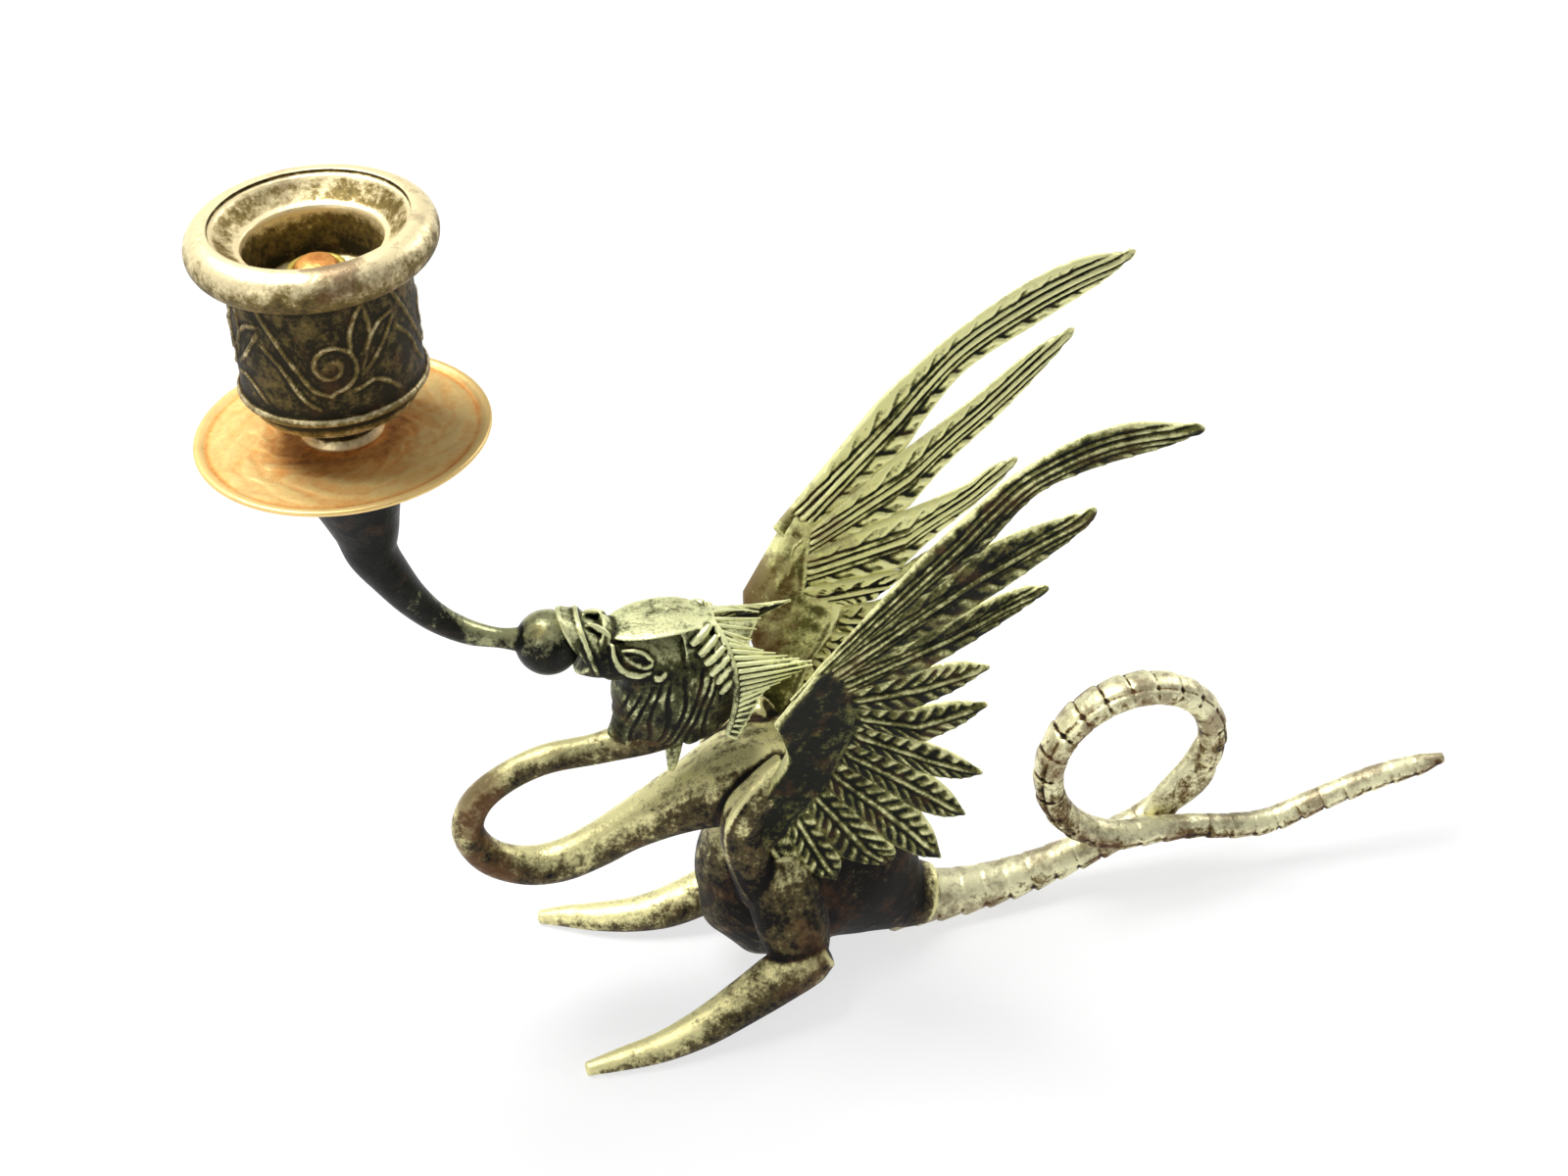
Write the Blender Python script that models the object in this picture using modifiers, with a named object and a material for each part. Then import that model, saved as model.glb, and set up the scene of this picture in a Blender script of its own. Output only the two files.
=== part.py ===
"""Dragon chamberstick: a patinated bronze dragon that holds a candle cup on an arm in its jaws.

The dragon faces -X and stands on z = 0, on its two soles, its belly and the root of its tail.
Its left side is -Y. The origin lies on the floor under the belly. Tables are in millimetres.
"""
import math

import bmesh
import bpy
import numpy as np
from mathutils import Matrix, Vector

MM = 0.001
SEAM = 0.3 * MM                # gap of a brazed or clamped joint

# Candle cup, drip pan and the stud that clamps them, measured along the candle's axis
CANDLE_X = -81.7 * MM
PAN_TOP_Z = 130.9 * MM
CANDLE_LEAN = math.radians(2.5)    # the cup leans towards +Y
CANDLE_TILT = math.radians(1.1)    # and a little back towards the dragon
PAN_RADIUS = 23.35 * MM
PAN_THICKNESS = 1.0 * MM
PAN_LIP = 0.7 * MM             # raised edge of the pan
BORE_RADIUS = 10.9 * MM
BORE_DEPTH = 8.8 * MM
CUP_HEIGHT = 38.0 * MM
CUP_WALL = 3.3 * MM
DISH_DEPTH = 4.0 * MM          # funnel above the bore
DISH_WIDTH = 4.4 * MM
ROLL_RADIUS = 3.4 * MM         # fat roll around the mouth
NECK_RADIUS = 6.4 * MM
NECK_HEIGHT = 6.2 * MM
BEAD_Z = 10.6 * MM
BEAD_RADIUS = 0.75 * MM
STUD_RADIUS = 3.2 * MM
STUD_PROUD = 1.2 * MM          # domed end above the nut
STUD_DEPTH = 8.0 * MM          # length held in the arm
NUT_RADIUS = 4.7 * MM
NUT_HEIGHT = 4.4 * MM
NUT_RECESS = 0.3 * MM          # the nut sits this deep in the floor of the bore

# Arm: a ball in the jaws, a thin stem and a trumpet under the pan
BALL_X = -54.7 * MM
BALL_Z = 81.5 * MM
BALL_RADIUS = 5.6 * MM
STEM_RADIUS = 1.75 * MM
BELL_RADIUS = 10.5 * MM
BELL_HEIGHT = 22.0 * MM

# Dragon
BREAST_X = -34.0 * MM
TAIL_LOOP_X = 48.2 * MM
TAIL_LOOP_Z = 29.6 * MM
TAIL_LOOP_RADIUS = 16.2 * MM
TAIL_PLATE = 5.6 * MM          # length of one plate along the tail
TAIL_PLATE_STEP = 0.07         # how far a plate's front stands over the one before it
WING_THICKNESS = 1.6 * MM
RIB_HEIGHT = 0.7 * MM          # quill of a feather above its edges, on both faces
BARB_HEIGHT = 0.5 * MM         # every other row across a feather stands up as a barb
LEDGE_HEIGHT = 0.7 * MM        # feathers stand this far over the smooth shoulder plate

LIMB_SIDES = 12
TURNED_STEPS = 28              # of the cup
PAN_STEPS = 32
SMALL_STEPS = 16               # of the nut, the stud and the hole for it

PARTS = "dragon_candlestick"
CUTTERS = "cutters"

COLOURS = {
    "bronze": ((0.20, 0.20, 0.09), 0.48, 0.75),
    "dark_bronze": ((0.06, 0.07, 0.04), 0.42, 0.75),
    "copper": ((0.62, 0.30, 0.10), 0.38, 0.90),
    "brass": ((0.38, 0.30, 0.13), 0.40, 0.90),
}


def clear_scene():
    """Remove what the default scene holds."""
    for obj in list(bpy.data.objects):
        bpy.data.objects.remove(obj, do_unlink=True)


def make_collections():
    """One collection for the parts and one for the cutters."""
    for name in (PARTS, CUTTERS):
        bpy.context.scene.collection.children.link(bpy.data.collections.new(name))


def make_material(name):
    """A metal with its own colour, roughness and metallic value."""
    colour, roughness, metallic = COLOURS[name]
    material = bpy.data.materials.new(name)
    material.use_nodes = True
    shader = material.node_tree.nodes["Principled BSDF"]
    shader.inputs["Base Color"].default_value = (*colour, 1.0)
    shader.inputs["Roughness"].default_value = roughness
    shader.inputs["Metallic"].default_value = metallic
    material.diffuse_color = (*colour, 1.0)
    return material


def add_object(name, mesh, collection=CUTTERS):
    """Put a mesh in the scene as a new object; a cutter is drawn as wire only."""
    obj = bpy.data.objects.new(name, mesh)
    bpy.data.collections[collection].objects.link(obj)
    if collection == CUTTERS:
        obj.hide_render = True
        obj.display_type = "WIRE"
    return obj


def smooth_rows(keys, steps):
    """A smooth curve through rows of numbers, with the same count of steps in each span."""
    rows = np.array(keys, dtype=float)
    lengths = np.linalg.norm(np.diff(rows[:, :3], axis=0), axis=1)
    times = np.concatenate([[0.0], np.cumsum(np.maximum(lengths, 1e-9))])
    slopes = np.empty_like(rows)
    slopes[1:-1] = (rows[2:] - rows[:-2]) / (times[2:] - times[:-2])[:, None]
    slopes[0] = (rows[1] - rows[0]) / (times[1] - times[0])
    slopes[-1] = (rows[-1] - rows[-2]) / (times[-1] - times[-2])
    curve = []
    for i in range(len(rows) - 1):
        span = times[i + 1] - times[i]
        for k in range(steps):
            t = k / steps
            curve.append((2 * t**3 - 3 * t**2 + 1) * rows[i] + (t**3 - 2 * t**2 + t) * span * slopes[i]
                         + (3 * t**2 - 2 * t**3) * rows[i + 1] + (t**3 - t**2) * span * slopes[i + 1])
    curve.append(rows[-1])
    return np.array(curve)


def resampled(curve, count):
    """The same curve with count + 1 rows at even distances."""
    lengths = np.linalg.norm(np.diff(curve[:, :3], axis=0), axis=1)
    travelled = np.concatenate([[0.0], np.cumsum(lengths)])
    places = np.linspace(0.0, travelled[-1], count + 1)
    return np.stack([np.interp(places, travelled, curve[:, c]) for c in range(curve.shape[1])], axis=1)


def limb_rings(rows, sides):
    """Elliptical rings across a path; a row is x, y, z, half width across Y, half height."""
    centres = rows[:, :3]
    tangents = np.gradient(centres, axis=0)
    tangents /= np.linalg.norm(tangents, axis=1)[:, None]
    rings = []
    for row, tangent in zip(rows, tangents):
        across = np.array([0.0, 1.0, 0.0]) - tangent[1] * tangent
        across /= np.linalg.norm(across)
        upward = np.cross(tangent, across)
        ring = []
        for k in range(sides):
            angle = 2 * math.pi * k / sides
            ring.append(row[:3] + across * row[3] * math.cos(angle) + upward * row[4] * math.sin(angle))
        rings.append(ring)
    return rings


def skin(name, rings, scale=MM):
    """A closed solid through rings of equal count, with flat ends."""
    bm = bmesh.new()
    loops = [[bm.verts.new(Vector(point) * scale) for point in ring] for ring in rings]
    sides = len(loops[0])
    for first, second in zip(loops, loops[1:]):
        for k in range(sides):
            after = (k + 1) % sides
            bm.faces.new((first[k], first[after], second[after], second[k]))
    bm.faces.new(reversed(loops[0]))
    bm.faces.new(loops[-1])
    bmesh.ops.recalc_face_normals(bm, faces=bm.faces)
    mesh = bpy.data.meshes.new(name)
    bm.to_mesh(mesh)
    bm.free()
    return add_object(name, mesh)


def limb(name, keys, steps=3, sides=LIMB_SIDES, grow=0.0):
    """A limb through hand-set stations; grow swells it by a distance in metres."""
    rows = smooth_rows(keys, steps)
    rows[:, 3:5] += grow / MM
    return skin(name, limb_rings(rows, sides))


def turned(name, outline, steps=TURNED_STEPS):
    """An outline of (radius, height) in metres, turned about the candle's axis.

    An outline that starts and ends on the axis stays open there; any other one is closed.
    """
    count = len(outline)
    edges = [(i, i + 1) for i in range(count - 1)]
    if outline[0][0] > 0.0:
        edges.append((count - 1, 0))
    mesh = bpy.data.meshes.new(name)
    mesh.from_pydata([(r, 0.0, z) for r, z in outline], edges, [])
    obj = add_object(name, mesh)
    screw = obj.modifiers.new("turn", "SCREW")
    screw.steps = steps
    screw.render_steps = steps
    screw.use_merge_vertices = True
    screw.merge_threshold = 0.00001
    return fixed(obj)


def fixed(obj):
    """The object with its modifiers applied, its doubles merged and its faces pointing out."""
    evaluated = obj.evaluated_get(bpy.context.evaluated_depsgraph_get())
    mesh = bpy.data.meshes.new_from_object(evaluated)
    obj.modifiers.clear()
    bm = bmesh.new()
    bm.from_mesh(mesh)
    bmesh.ops.remove_doubles(bm, verts=bm.verts, dist=0.000002)
    bmesh.ops.recalc_face_normals(bm, faces=bm.faces)
    bm.to_mesh(mesh)
    bm.free()
    obj.data = mesh
    return obj


def combine(target, tools, operation="UNION"):
    """Join the tools to the target, or cut them from it, and apply the result."""
    for tool in tools:
        boolean = target.modifiers.new(operation.lower(), "BOOLEAN")
        boolean.operation = operation
        boolean.solver = "EXACT"
        boolean.object = tool
        bpy.context.view_layer.update()
        evaluated = target.evaluated_get(bpy.context.evaluated_depsgraph_get())
        mesh = bpy.data.meshes.new_from_object(evaluated)
        target.modifiers.clear()
        target.data = mesh
        if operation == "UNION":
            bpy.data.objects.remove(tool, do_unlink=True)
    return target


def publish(obj, name, material, smooth_angle=40.0):
    """Move a finished solid into the parts collection under its own name."""
    bpy.data.collections[CUTTERS].objects.unlink(obj)
    bpy.data.collections[PARTS].objects.link(obj)
    obj.name = name
    obj.data.name = name
    obj.hide_render = False
    obj.display_type = "TEXTURED"
    obj.data.materials.clear()
    obj.data.materials.append(material)
    obj.data.shade_smooth()
    obj.data.set_sharp_from_angle(angle=math.radians(smooth_angle))
    return obj


def candle_frame():
    """An empty on the pan's top face, leaning as the cup does; heights count from it."""
    empty = bpy.data.objects.new("candle_axis", None)
    bpy.data.collections[CUTTERS].objects.link(empty)
    empty.location = (CANDLE_X, 0.0, PAN_TOP_Z)
    empty.rotation_euler = (-CANDLE_LEAN, CANDLE_TILT, 0.0)
    bpy.context.view_layer.update()
    return empty


def arc(centre_r, centre_z, radius, start, end, count):
    """Points on a circular arc of an outline, angles in degrees."""
    angles = np.radians(np.linspace(start, end, count))
    return [(centre_r + radius * math.cos(a), centre_z + radius * math.sin(a)) for a in angles]


def cup_outline():
    """Half section of the cup, from the mouth's roll down the outside and up the bore."""
    body = BORE_RADIUS + CUP_WALL
    bore_top = CUP_HEIGHT - DISH_DEPTH
    floor = bore_top - BORE_DEPTH
    roll_r = BORE_RADIUS + DISH_WIDTH + 0.15 * ROLL_RADIUS
    roll_z = CUP_HEIGHT - ROLL_RADIUS
    hole = STUD_RADIUS + SEAM
    outline = arc(roll_r, roll_z, ROLL_RADIUS, 100, -78, 8)
    under_roll = roll_z - ROLL_RADIUS
    outline += [(body + 0.35 * MM, under_roll - 0.5 * MM), (body + 0.2 * MM, under_roll - 2 * MM)]
    outline += [(body, BEAD_Z + 2.2 * BEAD_RADIUS)]
    outline += arc(body - 0.1 * BEAD_RADIUS, BEAD_Z, BEAD_RADIUS, 75, -75, 3)
    outline += [(body - 0.9 * MM, BEAD_Z - 2.0 * BEAD_RADIUS)]
    outline += [(0.5 * (body + NECK_RADIUS), NECK_HEIGHT + 1.1 * MM)]
    outline += [(NECK_RADIUS - 0.5 * MM, NECK_HEIGHT), (NECK_RADIUS - 0.9 * MM, 0.55 * NECK_HEIGHT)]
    outline += [(NECK_RADIUS, 0.3 * NECK_HEIGHT), (NECK_RADIUS + 0.3 * MM, SEAM + 0.2 * MM)]
    outline += [(NECK_RADIUS, SEAM)]
    recess = NUT_RADIUS + SEAM
    outline += [(hole, SEAM), (hole, floor - NUT_RECESS), (recess, floor - NUT_RECESS), (recess, floor)]
    outline += [(BORE_RADIUS - 0.4 * MM, floor), (BORE_RADIUS, floor + 0.4 * MM)]
    outline += [(BORE_RADIUS, bore_top)]
    outline += [(BORE_RADIUS + 0.55 * DISH_WIDTH, bore_top + 0.62 * DISH_DEPTH)]
    outline += [(BORE_RADIUS + 0.86 * DISH_WIDTH, CUP_HEIGHT - 0.25 * MM)]
    outline += [(BORE_RADIUS + 0.95 * DISH_WIDTH, CUP_HEIGHT - 0.4 * MM)]
    return outline


def pan_outline():
    """Half section of the drip pan: a thin disc with a slightly raised, rounded edge."""
    hole = STUD_RADIUS + SEAM
    edge = PAN_RADIUS - 0.35 * MM
    outline = [(PAN_RADIUS - 1.5 * MM, PAN_LIP), (edge, PAN_LIP + 0.1 * MM), (PAN_RADIUS, PAN_LIP - 0.3 * MM)]
    outline += [(PAN_RADIUS, -0.35 * MM), (edge, -0.7 * PAN_THICKNESS)]
    outline += [(PAN_RADIUS - 2.4 * MM, -PAN_THICKNESS)]
    outline += [(hole, -PAN_THICKNESS), (hole, 0.0), (PAN_RADIUS - 2.4 * MM, 0.0)]
    return outline


def stud_outline():
    """Half section of the threaded stud with a domed end above the nut."""
    floor = CUP_HEIGHT - DISH_DEPTH - BORE_DEPTH
    top = floor + SEAM + NUT_HEIGHT + STUD_PROUD
    bottom = -PAN_THICKNESS - SEAM - STUD_DEPTH
    dome = [(STUD_RADIUS * math.cos(a), top - STUD_PROUD + STUD_PROUD * math.sin(a))
            for a in np.radians([65, 40, 18])]
    return [(0.0, top)] + dome + [(STUD_RADIUS, top - STUD_PROUD), (STUD_RADIUS, bottom + 0.5 * MM),
                                  (STUD_RADIUS - 0.5 * MM, bottom), (0.0, bottom)]


def nut_outline():
    """Half section of the round nut on the floor of the bore."""
    floor = CUP_HEIGHT - DISH_DEPTH - BORE_DEPTH - NUT_RECESS + SEAM
    top = floor + NUT_HEIGHT
    hole = STUD_RADIUS + SEAM
    return [(hole, top), (NUT_RADIUS - 0.6 * MM, top), (NUT_RADIUS, top - 0.7 * MM), (NUT_RADIUS, floor),
            (hole, floor)]


def turned_on_candle(name, outline, material, frame, steps=TURNED_STEPS):
    """A turned piece that sits on the candle's axis."""
    piece = publish(turned(name, outline, steps), name, material)
    piece.parent = frame
    return piece


def sphere(name, centre, radius, segments):
    """A closed ball."""
    bm = bmesh.new()
    bmesh.ops.create_uvsphere(bm, u_segments=segments, v_segments=segments // 2, radius=radius,
                              matrix=Matrix.Translation(centre))
    mesh = bpy.data.meshes.new(name)
    bm.to_mesh(mesh)
    bm.free()
    return add_object(name, mesh)


def candle_arm(frame, material):
    """The arm: ball, stem and trumpet in one casting, drilled for the stud."""
    ball = Vector((BALL_X, 0.0, BALL_Z)) / MM
    stem, bell = STEM_RADIUS / MM, BELL_RADIUS / MM

    def under_pan(depth, shift=0.0):
        return frame.matrix_world @ Vector((shift, 0.0, -PAN_THICKNESS - SEAM - depth * BELL_HEIGHT)) / MM

    foot = under_pan(1.0, 1.4 * MM)
    rise, reach = foot.z - ball.z, foot.x - ball.x
    keys = []
    for along, up, radius in ((0.06, 0.03, stem + 1.0), (0.28, 0.10, stem), (0.48, 0.195, 1.2 * stem),
                              (0.67, 0.36, 1.4 * stem), (0.81, 0.56, 0.28 * bell), (0.92, 0.79, 0.34 * bell)):
        keys.append((ball.x + along * reach, foot.y * up, ball.z + up * rise, radius, radius))
    for depth, shift, share in ((1.0, 1.4, 0.41), (0.78, 1.1, 0.52), (0.55, 0.6, 0.66), (0.3, 0.0, 0.84),
                                (0.06, 0.0, 0.97), (0.0, 0.0, 1.0)):
        keys.append((*under_pan(depth, shift * MM), share * bell, share * bell))
    arm = limb("arm", keys, 2)
    combine(arm, [sphere("arm_ball", ball * MM, BALL_RADIUS, 12)])
    depth = -PAN_THICKNESS - 2 * SEAM - STUD_DEPTH
    hole = turned("stud_hole", [(0.0, 2 * MM), (STUD_RADIUS + SEAM, 2 * MM), (STUD_RADIUS + SEAM, depth),
                                (0.0, depth)], SMALL_STEPS)
    hole.matrix_world = frame.matrix_world
    combine(arm, [hole], "DIFFERENCE")
    return publish(arm, "candle_arm", material)


# Stations of the dragon: x, y, z, half width across Y, half height square to the path
NECK = [(-28.0, 0, 63.0, 3.6, 3.6), (-37.0, 0, 58.0, 3.4, 3.4), (-48.0, 0, 56.0, 2.8, 2.8),
        (-58.0, 0, 55.7, 2.65, 2.65), (-65.5, 0, 53.0, 2.6, 2.6), (-71.0, 0, 48.6, 2.75, 2.75),
        (-73.2, 0, 42.5, 2.9, 2.9), (-70.5, 0, 35.8, 3.2, 3.2), (-64.5, 0, 31.8, 3.5, 3.5),
        (-58.0, 0, 31.2, 3.8, 3.8), (-51.5, 0, 33.2, 4.0, 4.0), (-44.5, 0, 36.6, 4.6, 4.3),
        (-35.0, 0, 40.4, 6.6, 5.6), (-26.0, 0, 43.0, 9.6, 7.6), (-18.5, 0, 43.6, 11.6, 8.4),
        (-11.0, 0, 41.0, 10.6, 8.0), (-5.0, 0, 36.5, 7.0, 6.0)]
EGG = [(0.6, 26.5, 0.8, 0.8), (1.6, 26.2, 4.4, 6.0), (4.2, 25.4, 7.6, 11.4), (8.0, 23.8, 10.2, 16.4),
       (13.6, 22.0, 12.0, 20.6), (20.0, 19.6, 12.4, 19.9), (27.0, 16.2, 11.5, 16.6),
       (33.0, 11.0, 8.8, 11.4), (38.0, 7.2, 6.6, 7.5), (43.0, 5.4, 5.6, 5.7)]
SHOULDER = [(-17.0, 7.5, 51.0, 2.6, 2.6), (-21.0, 8.6, 48.0, 3.4, 3.4), (-25.3, 9.6, 44.0, 3.9, 3.9),
            (-26.2, 9.6, 38.0, 4.0, 4.0), (-24.8, 9.6, 32.0, 4.6, 4.6), (-22.0, 9.4, 25.0, 6.0, 6.0)]
LEFT_THIGH = [(-21.0, 8.0, 31.0, 5.5, 5.6), (-20.2, 11.0, 26.0, 6.0, 6.6), (-19.4, 13.2, 20.5, 5.8, 6.8),
              (-18.6, 15.2, 15.0, 5.0, 6.0), (-18.0, 16.4, 11.6, 3.8, 4.6)]
RIGHT_THIGH = [(-21.0, 7.6, 31.0, 5.5, 5.6), (-20.2, 9.8, 26.0, 6.0, 6.6), (-19.2, 11.6, 20.5, 5.8, 6.8),
               (-18.0, 13.0, 15.0, 5.0, 6.0), (-17.2, 13.8, 11.6, 3.8, 4.6)]
LEFT_SHANK = [(-13.8, 17.0, 13.6, 3.0, 3.2), (-17.0, 17.2, 12.4, 4.5, 4.7), (-22.6, 18.0, 10.0, 4.6, 4.8),
              (-30.4, 19.4, 6.6, 4.1, 4.1), (-38.0, 20.8, 3.8, 3.6, 3.4), (-46.0, 22.0, 2.2, 3.0, 2.5),
              (-54.0, 22.4, 1.5, 2.2, 1.8), (-60.0, 22.6, 1.0, 1.3, 1.2)]
RIGHT_SHANK = [(-11.0, 15.0, 13.0, 3.0, 3.2), (-15.0, 14.6, 12.0, 4.4, 4.6), (-23.0, 12.0, 9.2, 4.6, 4.6),
               (-31.0, 11.0, 6.3, 4.4, 4.2), (-38.5, 10.8, 4.0, 4.0, 3.8), (-45.0, 11.6, 2.9, 3.5, 3.1),
               (-52.0, 13.6, 2.2, 2.9, 2.5), (-58.0, 16.0, 1.6, 2.1, 1.9), (-62.6, 17.6, 1.0, 1.3, 1.2)]
# Head stations: distance behind the ball's centre, top and bottom above it, half width
HEAD = [(1.6, 5.4, -7.0, 5.4), (2.6, 6.4, -8.4, 6.6), (4.2, 5.2, -8.2, 6.0), (6.2, 4.8, -9.2, 6.6),
        (8.2, 2.6, -9.6, 6.0), (10.6, 0.8, -11.2, 5.9), (13.2, 1.0, -17.5, 6.2), (16.8, 1.2, -24.0, 6.8),
        (20.8, 1.0, -26.5, 7.0), (24.8, -0.2, -25.5, 6.6), (28.2, -2.4, -22.6, 5.8), (30.6, -5.5, -18.6, 4.2)]
BROW = [(9.0, -0.2, 1.6, 0.9), (12.0, 0.6, 3.0, 1.4), (16.6, 0.9, 4.0, 1.7), (21.4, 0.7, 4.2, 1.7),
        (26.4, -0.8, 3.6, 1.5), (29.6, -2.4, 2.0, 1.0)]
BEARD_SPIKE = [(17.6, 0.0, -22.0, 2.0, 2.4), (18.2, 0.0, -26.0, 1.7, 2.0), (18.6, 0.0, -30.0, 1.1, 1.2),
               (18.2, 0.0, -33.6, 0.3, 0.3)]
EYE = (14.0, 4.9, -2.5)
EYE_RADIUS = 1.7
# Overlapping locks of the beard on the +Y side, from the cheek down to their free tips
BEARD_LOCKS = [[(12.4, 4.8, -9.4, 0.9, 1.2), (13.4, 6.1, -14.5, 1.2, 1.7), (12.6, 4.9, -20.5, 1.0, 1.5),
                (10.3, 3.4, -26.0, 0.4, 0.4)],
               [(16.4, 6.2, -11.0, 0.9, 1.2), (16.6, 6.7, -17.0, 1.3, 1.8), (15.0, 5.0, -23.0, 1.0, 1.5),
                (12.8, 3.2, -27.6, 0.4, 0.4)],
               [(20.4, 6.6, -12.5, 0.9, 1.2), (20.6, 6.9, -18.5, 1.3, 1.8), (19.0, 5.0, -24.5, 1.0, 1.5),
                (16.8, 2.8, -29.0, 0.4, 0.4)],
               [(24.6, 6.2, -13.5, 0.9, 1.2), (24.8, 6.2, -19.0, 1.2, 1.7), (23.0, 4.4, -24.5, 1.0, 1.4),
                (20.8, 2.4, -28.6, 0.4, 0.4)]]
# The frill behind each cheek: a curved rib and the tips of its rays, from the ball's centre
FRILL_RIB = [(27.7, 0.8, -0.8), (29.0, 4.0, -2.6), (30.0, 7.0, -6.2), (30.2, 7.8, -10.5),
             (29.6, 7.2, -16.5), (28.2, 6.0, -22.4)]
FRILL_TIPS = [(35.9, 0.9, -2.4), (32.9, 4.6, -5.0), (43.5, 8.8, -7.6), (34.5, 9.0, -11.5), (32.2, 8.2, -17.0),
              (29.6, 6.6, -23.5)]
FRILL_RAYS = 9


def mirrored(keys, side):
    """Stations given for +Y, put on the side asked for."""
    return [(x, side * y, z, *rest) for x, y, z, *rest in keys]


def from_ball(keys):
    """Stations given from the ball's centre, as places in the dragon's frame."""
    return [(BALL_X / MM + x, y, BALL_Z / MM + z, *rest) for x, y, z, *rest in keys]


def egg_keys():
    """The body's stations, counted back from the breast."""
    return [(BREAST_X / MM + x, 0.0, z, width, height) for x, z, width, height in EGG]


def head_keys():
    """The skull's stations as centre, half width and half height."""
    return from_ball([(x, 0.0, 0.5 * (top + bottom), width, 0.5 * (top - bottom))
                      for x, top, bottom, width in HEAD])


def tail_keys():
    """The tail's path: root on the floor, one loop for a finger, and the free tip."""
    loop_x, loop_z, radius = TAIL_LOOP_X / MM, TAIL_LOOP_Z / MM, TAIL_LOOP_RADIUS / MM
    root_x = BREAST_X / MM + 35.0
    keys = []
    for share, y, z, size in ((-0.12, 0.0, 6.2, 6.5), (0.0, 0.0, 5.5, 5.8), (0.25, 0.0, 4.3, 4.5),
                              (0.45, 0.3, 5.4, 3.8), (0.65, 1.2, 8.0, 3.3), (0.85, 2.2, 12.0, 3.1)):
        keys.append((root_x + share * (loop_x + 0.79 * radius - root_x), y, z, size, size))
    first, last, turns = -38.0, 282.0, 14
    for k in range(turns + 1):
        share = k / turns
        angle = math.radians(first + share * (last - first))
        swell = math.sin(math.pi * share)
        keys.append((loop_x + radius * math.cos(angle), 3.0 - 6.2 * share, loop_z + radius * math.sin(angle),
                     2.7 + 1.2 * swell, 2.6 + 0.1 * swell))
    for along, z, size in ((0.75, -17.6, 2.3), (1.15, -19.3, 2.4), (1.6, -19.9, 2.4), (2.2, -17.0, 2.3),
                           (2.9, -14.0, 2.3), (3.45, -12.8, 1.9), (3.72, -12.2, 0.9)):
        keys.append((loop_x + along * radius, -2.6, loop_z + z, size, size))
    return keys


def plated(keys, plate):
    """Stations of overlapping plates: each swells at its front edge and tapers to the next."""
    curve = smooth_rows(keys, 8)
    lengths = np.linalg.norm(np.diff(curve[:, :3], axis=0), axis=1).sum()
    plates = max(4, round(lengths / plate))
    fine = resampled(curve, plates * 4)
    rows = []
    for k in range(plates):
        front, back = fine[4 * k].copy(), fine[4 * k + 3].copy()
        front[3:5] *= 1.0 + TAIL_PLATE_STEP
        back[3:5] *= 1.0 - 0.3 * TAIL_PLATE_STEP
        rows += [front, back]
    rows.append(fine[-1])
    return np.array(rows)


def tail_parts():
    """The tail in two lofts, because it passes itself at the loop."""
    rows = plated(tail_keys(), TAIL_PLATE / MM)
    half = len(rows) // 2
    return [skin("tail_root", limb_rings(rows[:half + 1], 8)), skin("tail_tip", limb_rings(rows[half:], 8))]


def tail_web():
    """The flat web that joins the tail to itself where it crosses under the loop."""
    x, z = TAIL_LOOP_X / MM, TAIL_LOOP_Z / MM
    return limb("tail_web", [(x + 4.0, 1.0, z - 16.4, 1.5, 1.9), (x + 8.0, 1.5, z - 13.0, 1.7, 3.8),
                             (x + 12.9, 2.0, z - 8.4, 1.7, 4.2), (x + 15.2, 2.7, z - 1.2, 1.3, 1.9)], 1, sides=8)


def half_space_below():
    """A block whose top is the floor."""
    bm = bmesh.new()
    bmesh.ops.create_cube(bm, size=1.0)
    bmesh.ops.scale(bm, vec=(0.5, 0.3, 0.1), verts=bm.verts)
    bmesh.ops.translate(bm, vec=(0.0, 0.0, -0.05), verts=bm.verts)
    mesh = bpy.data.meshes.new("floor_cut")
    bm.to_mesh(mesh)
    bm.free()
    return add_object("floor_cut", mesh)


def frill(side):
    """The frill behind one cheek: a thin fan of rays from a curved rib."""
    inner = resampled(smooth_rows(FRILL_RIB, 4), 2 * FRILL_RAYS)
    outer = resampled(np.array(FRILL_TIPS, dtype=float), 2 * FRILL_RAYS)
    rings = []
    for k, (start, end) in enumerate(zip(inner, outer)):
        crest = 0.45 if k % 2 else 0.0
        reach = end + (end - start) * (0.12 if k % 2 else -0.04)
        middle = 0.5 * (start + reach)
        outward = [(p[0], p[1] + t, p[2])
                   for p, t in zip((start, middle, reach), (1.2 + crest, 0.6 + crest, 0.4))]
        inward = [(start[0] - 2.0, start[1] - 1.4, start[2]), (middle[0], middle[1] - 0.6, middle[2]),
                  (reach[0], reach[1] - 0.5, reach[2])]
        rings.append([(x, side * y, z) for x, y, z in from_ball(outward + inward[::-1])])
    return skin("frill", rings)


def flank_parts(grow=0.0):
    """The shapes that a wing is seated on; grow leaves the seam when they cut a wing."""
    parts = [limb("neck", NECK, 2, sides=10, grow=grow), limb("egg", egg_keys(), 2, sides=16, grow=grow)]
    for side, thigh in ((-1, LEFT_THIGH), (1, RIGHT_THIGH)):
        parts.append(limb("shoulder", mirrored(SHOULDER, side), 1, sides=8, grow=grow))
        parts.append(limb("thigh", mirrored(thigh, side), 1, grow=grow))
    return parts


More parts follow.
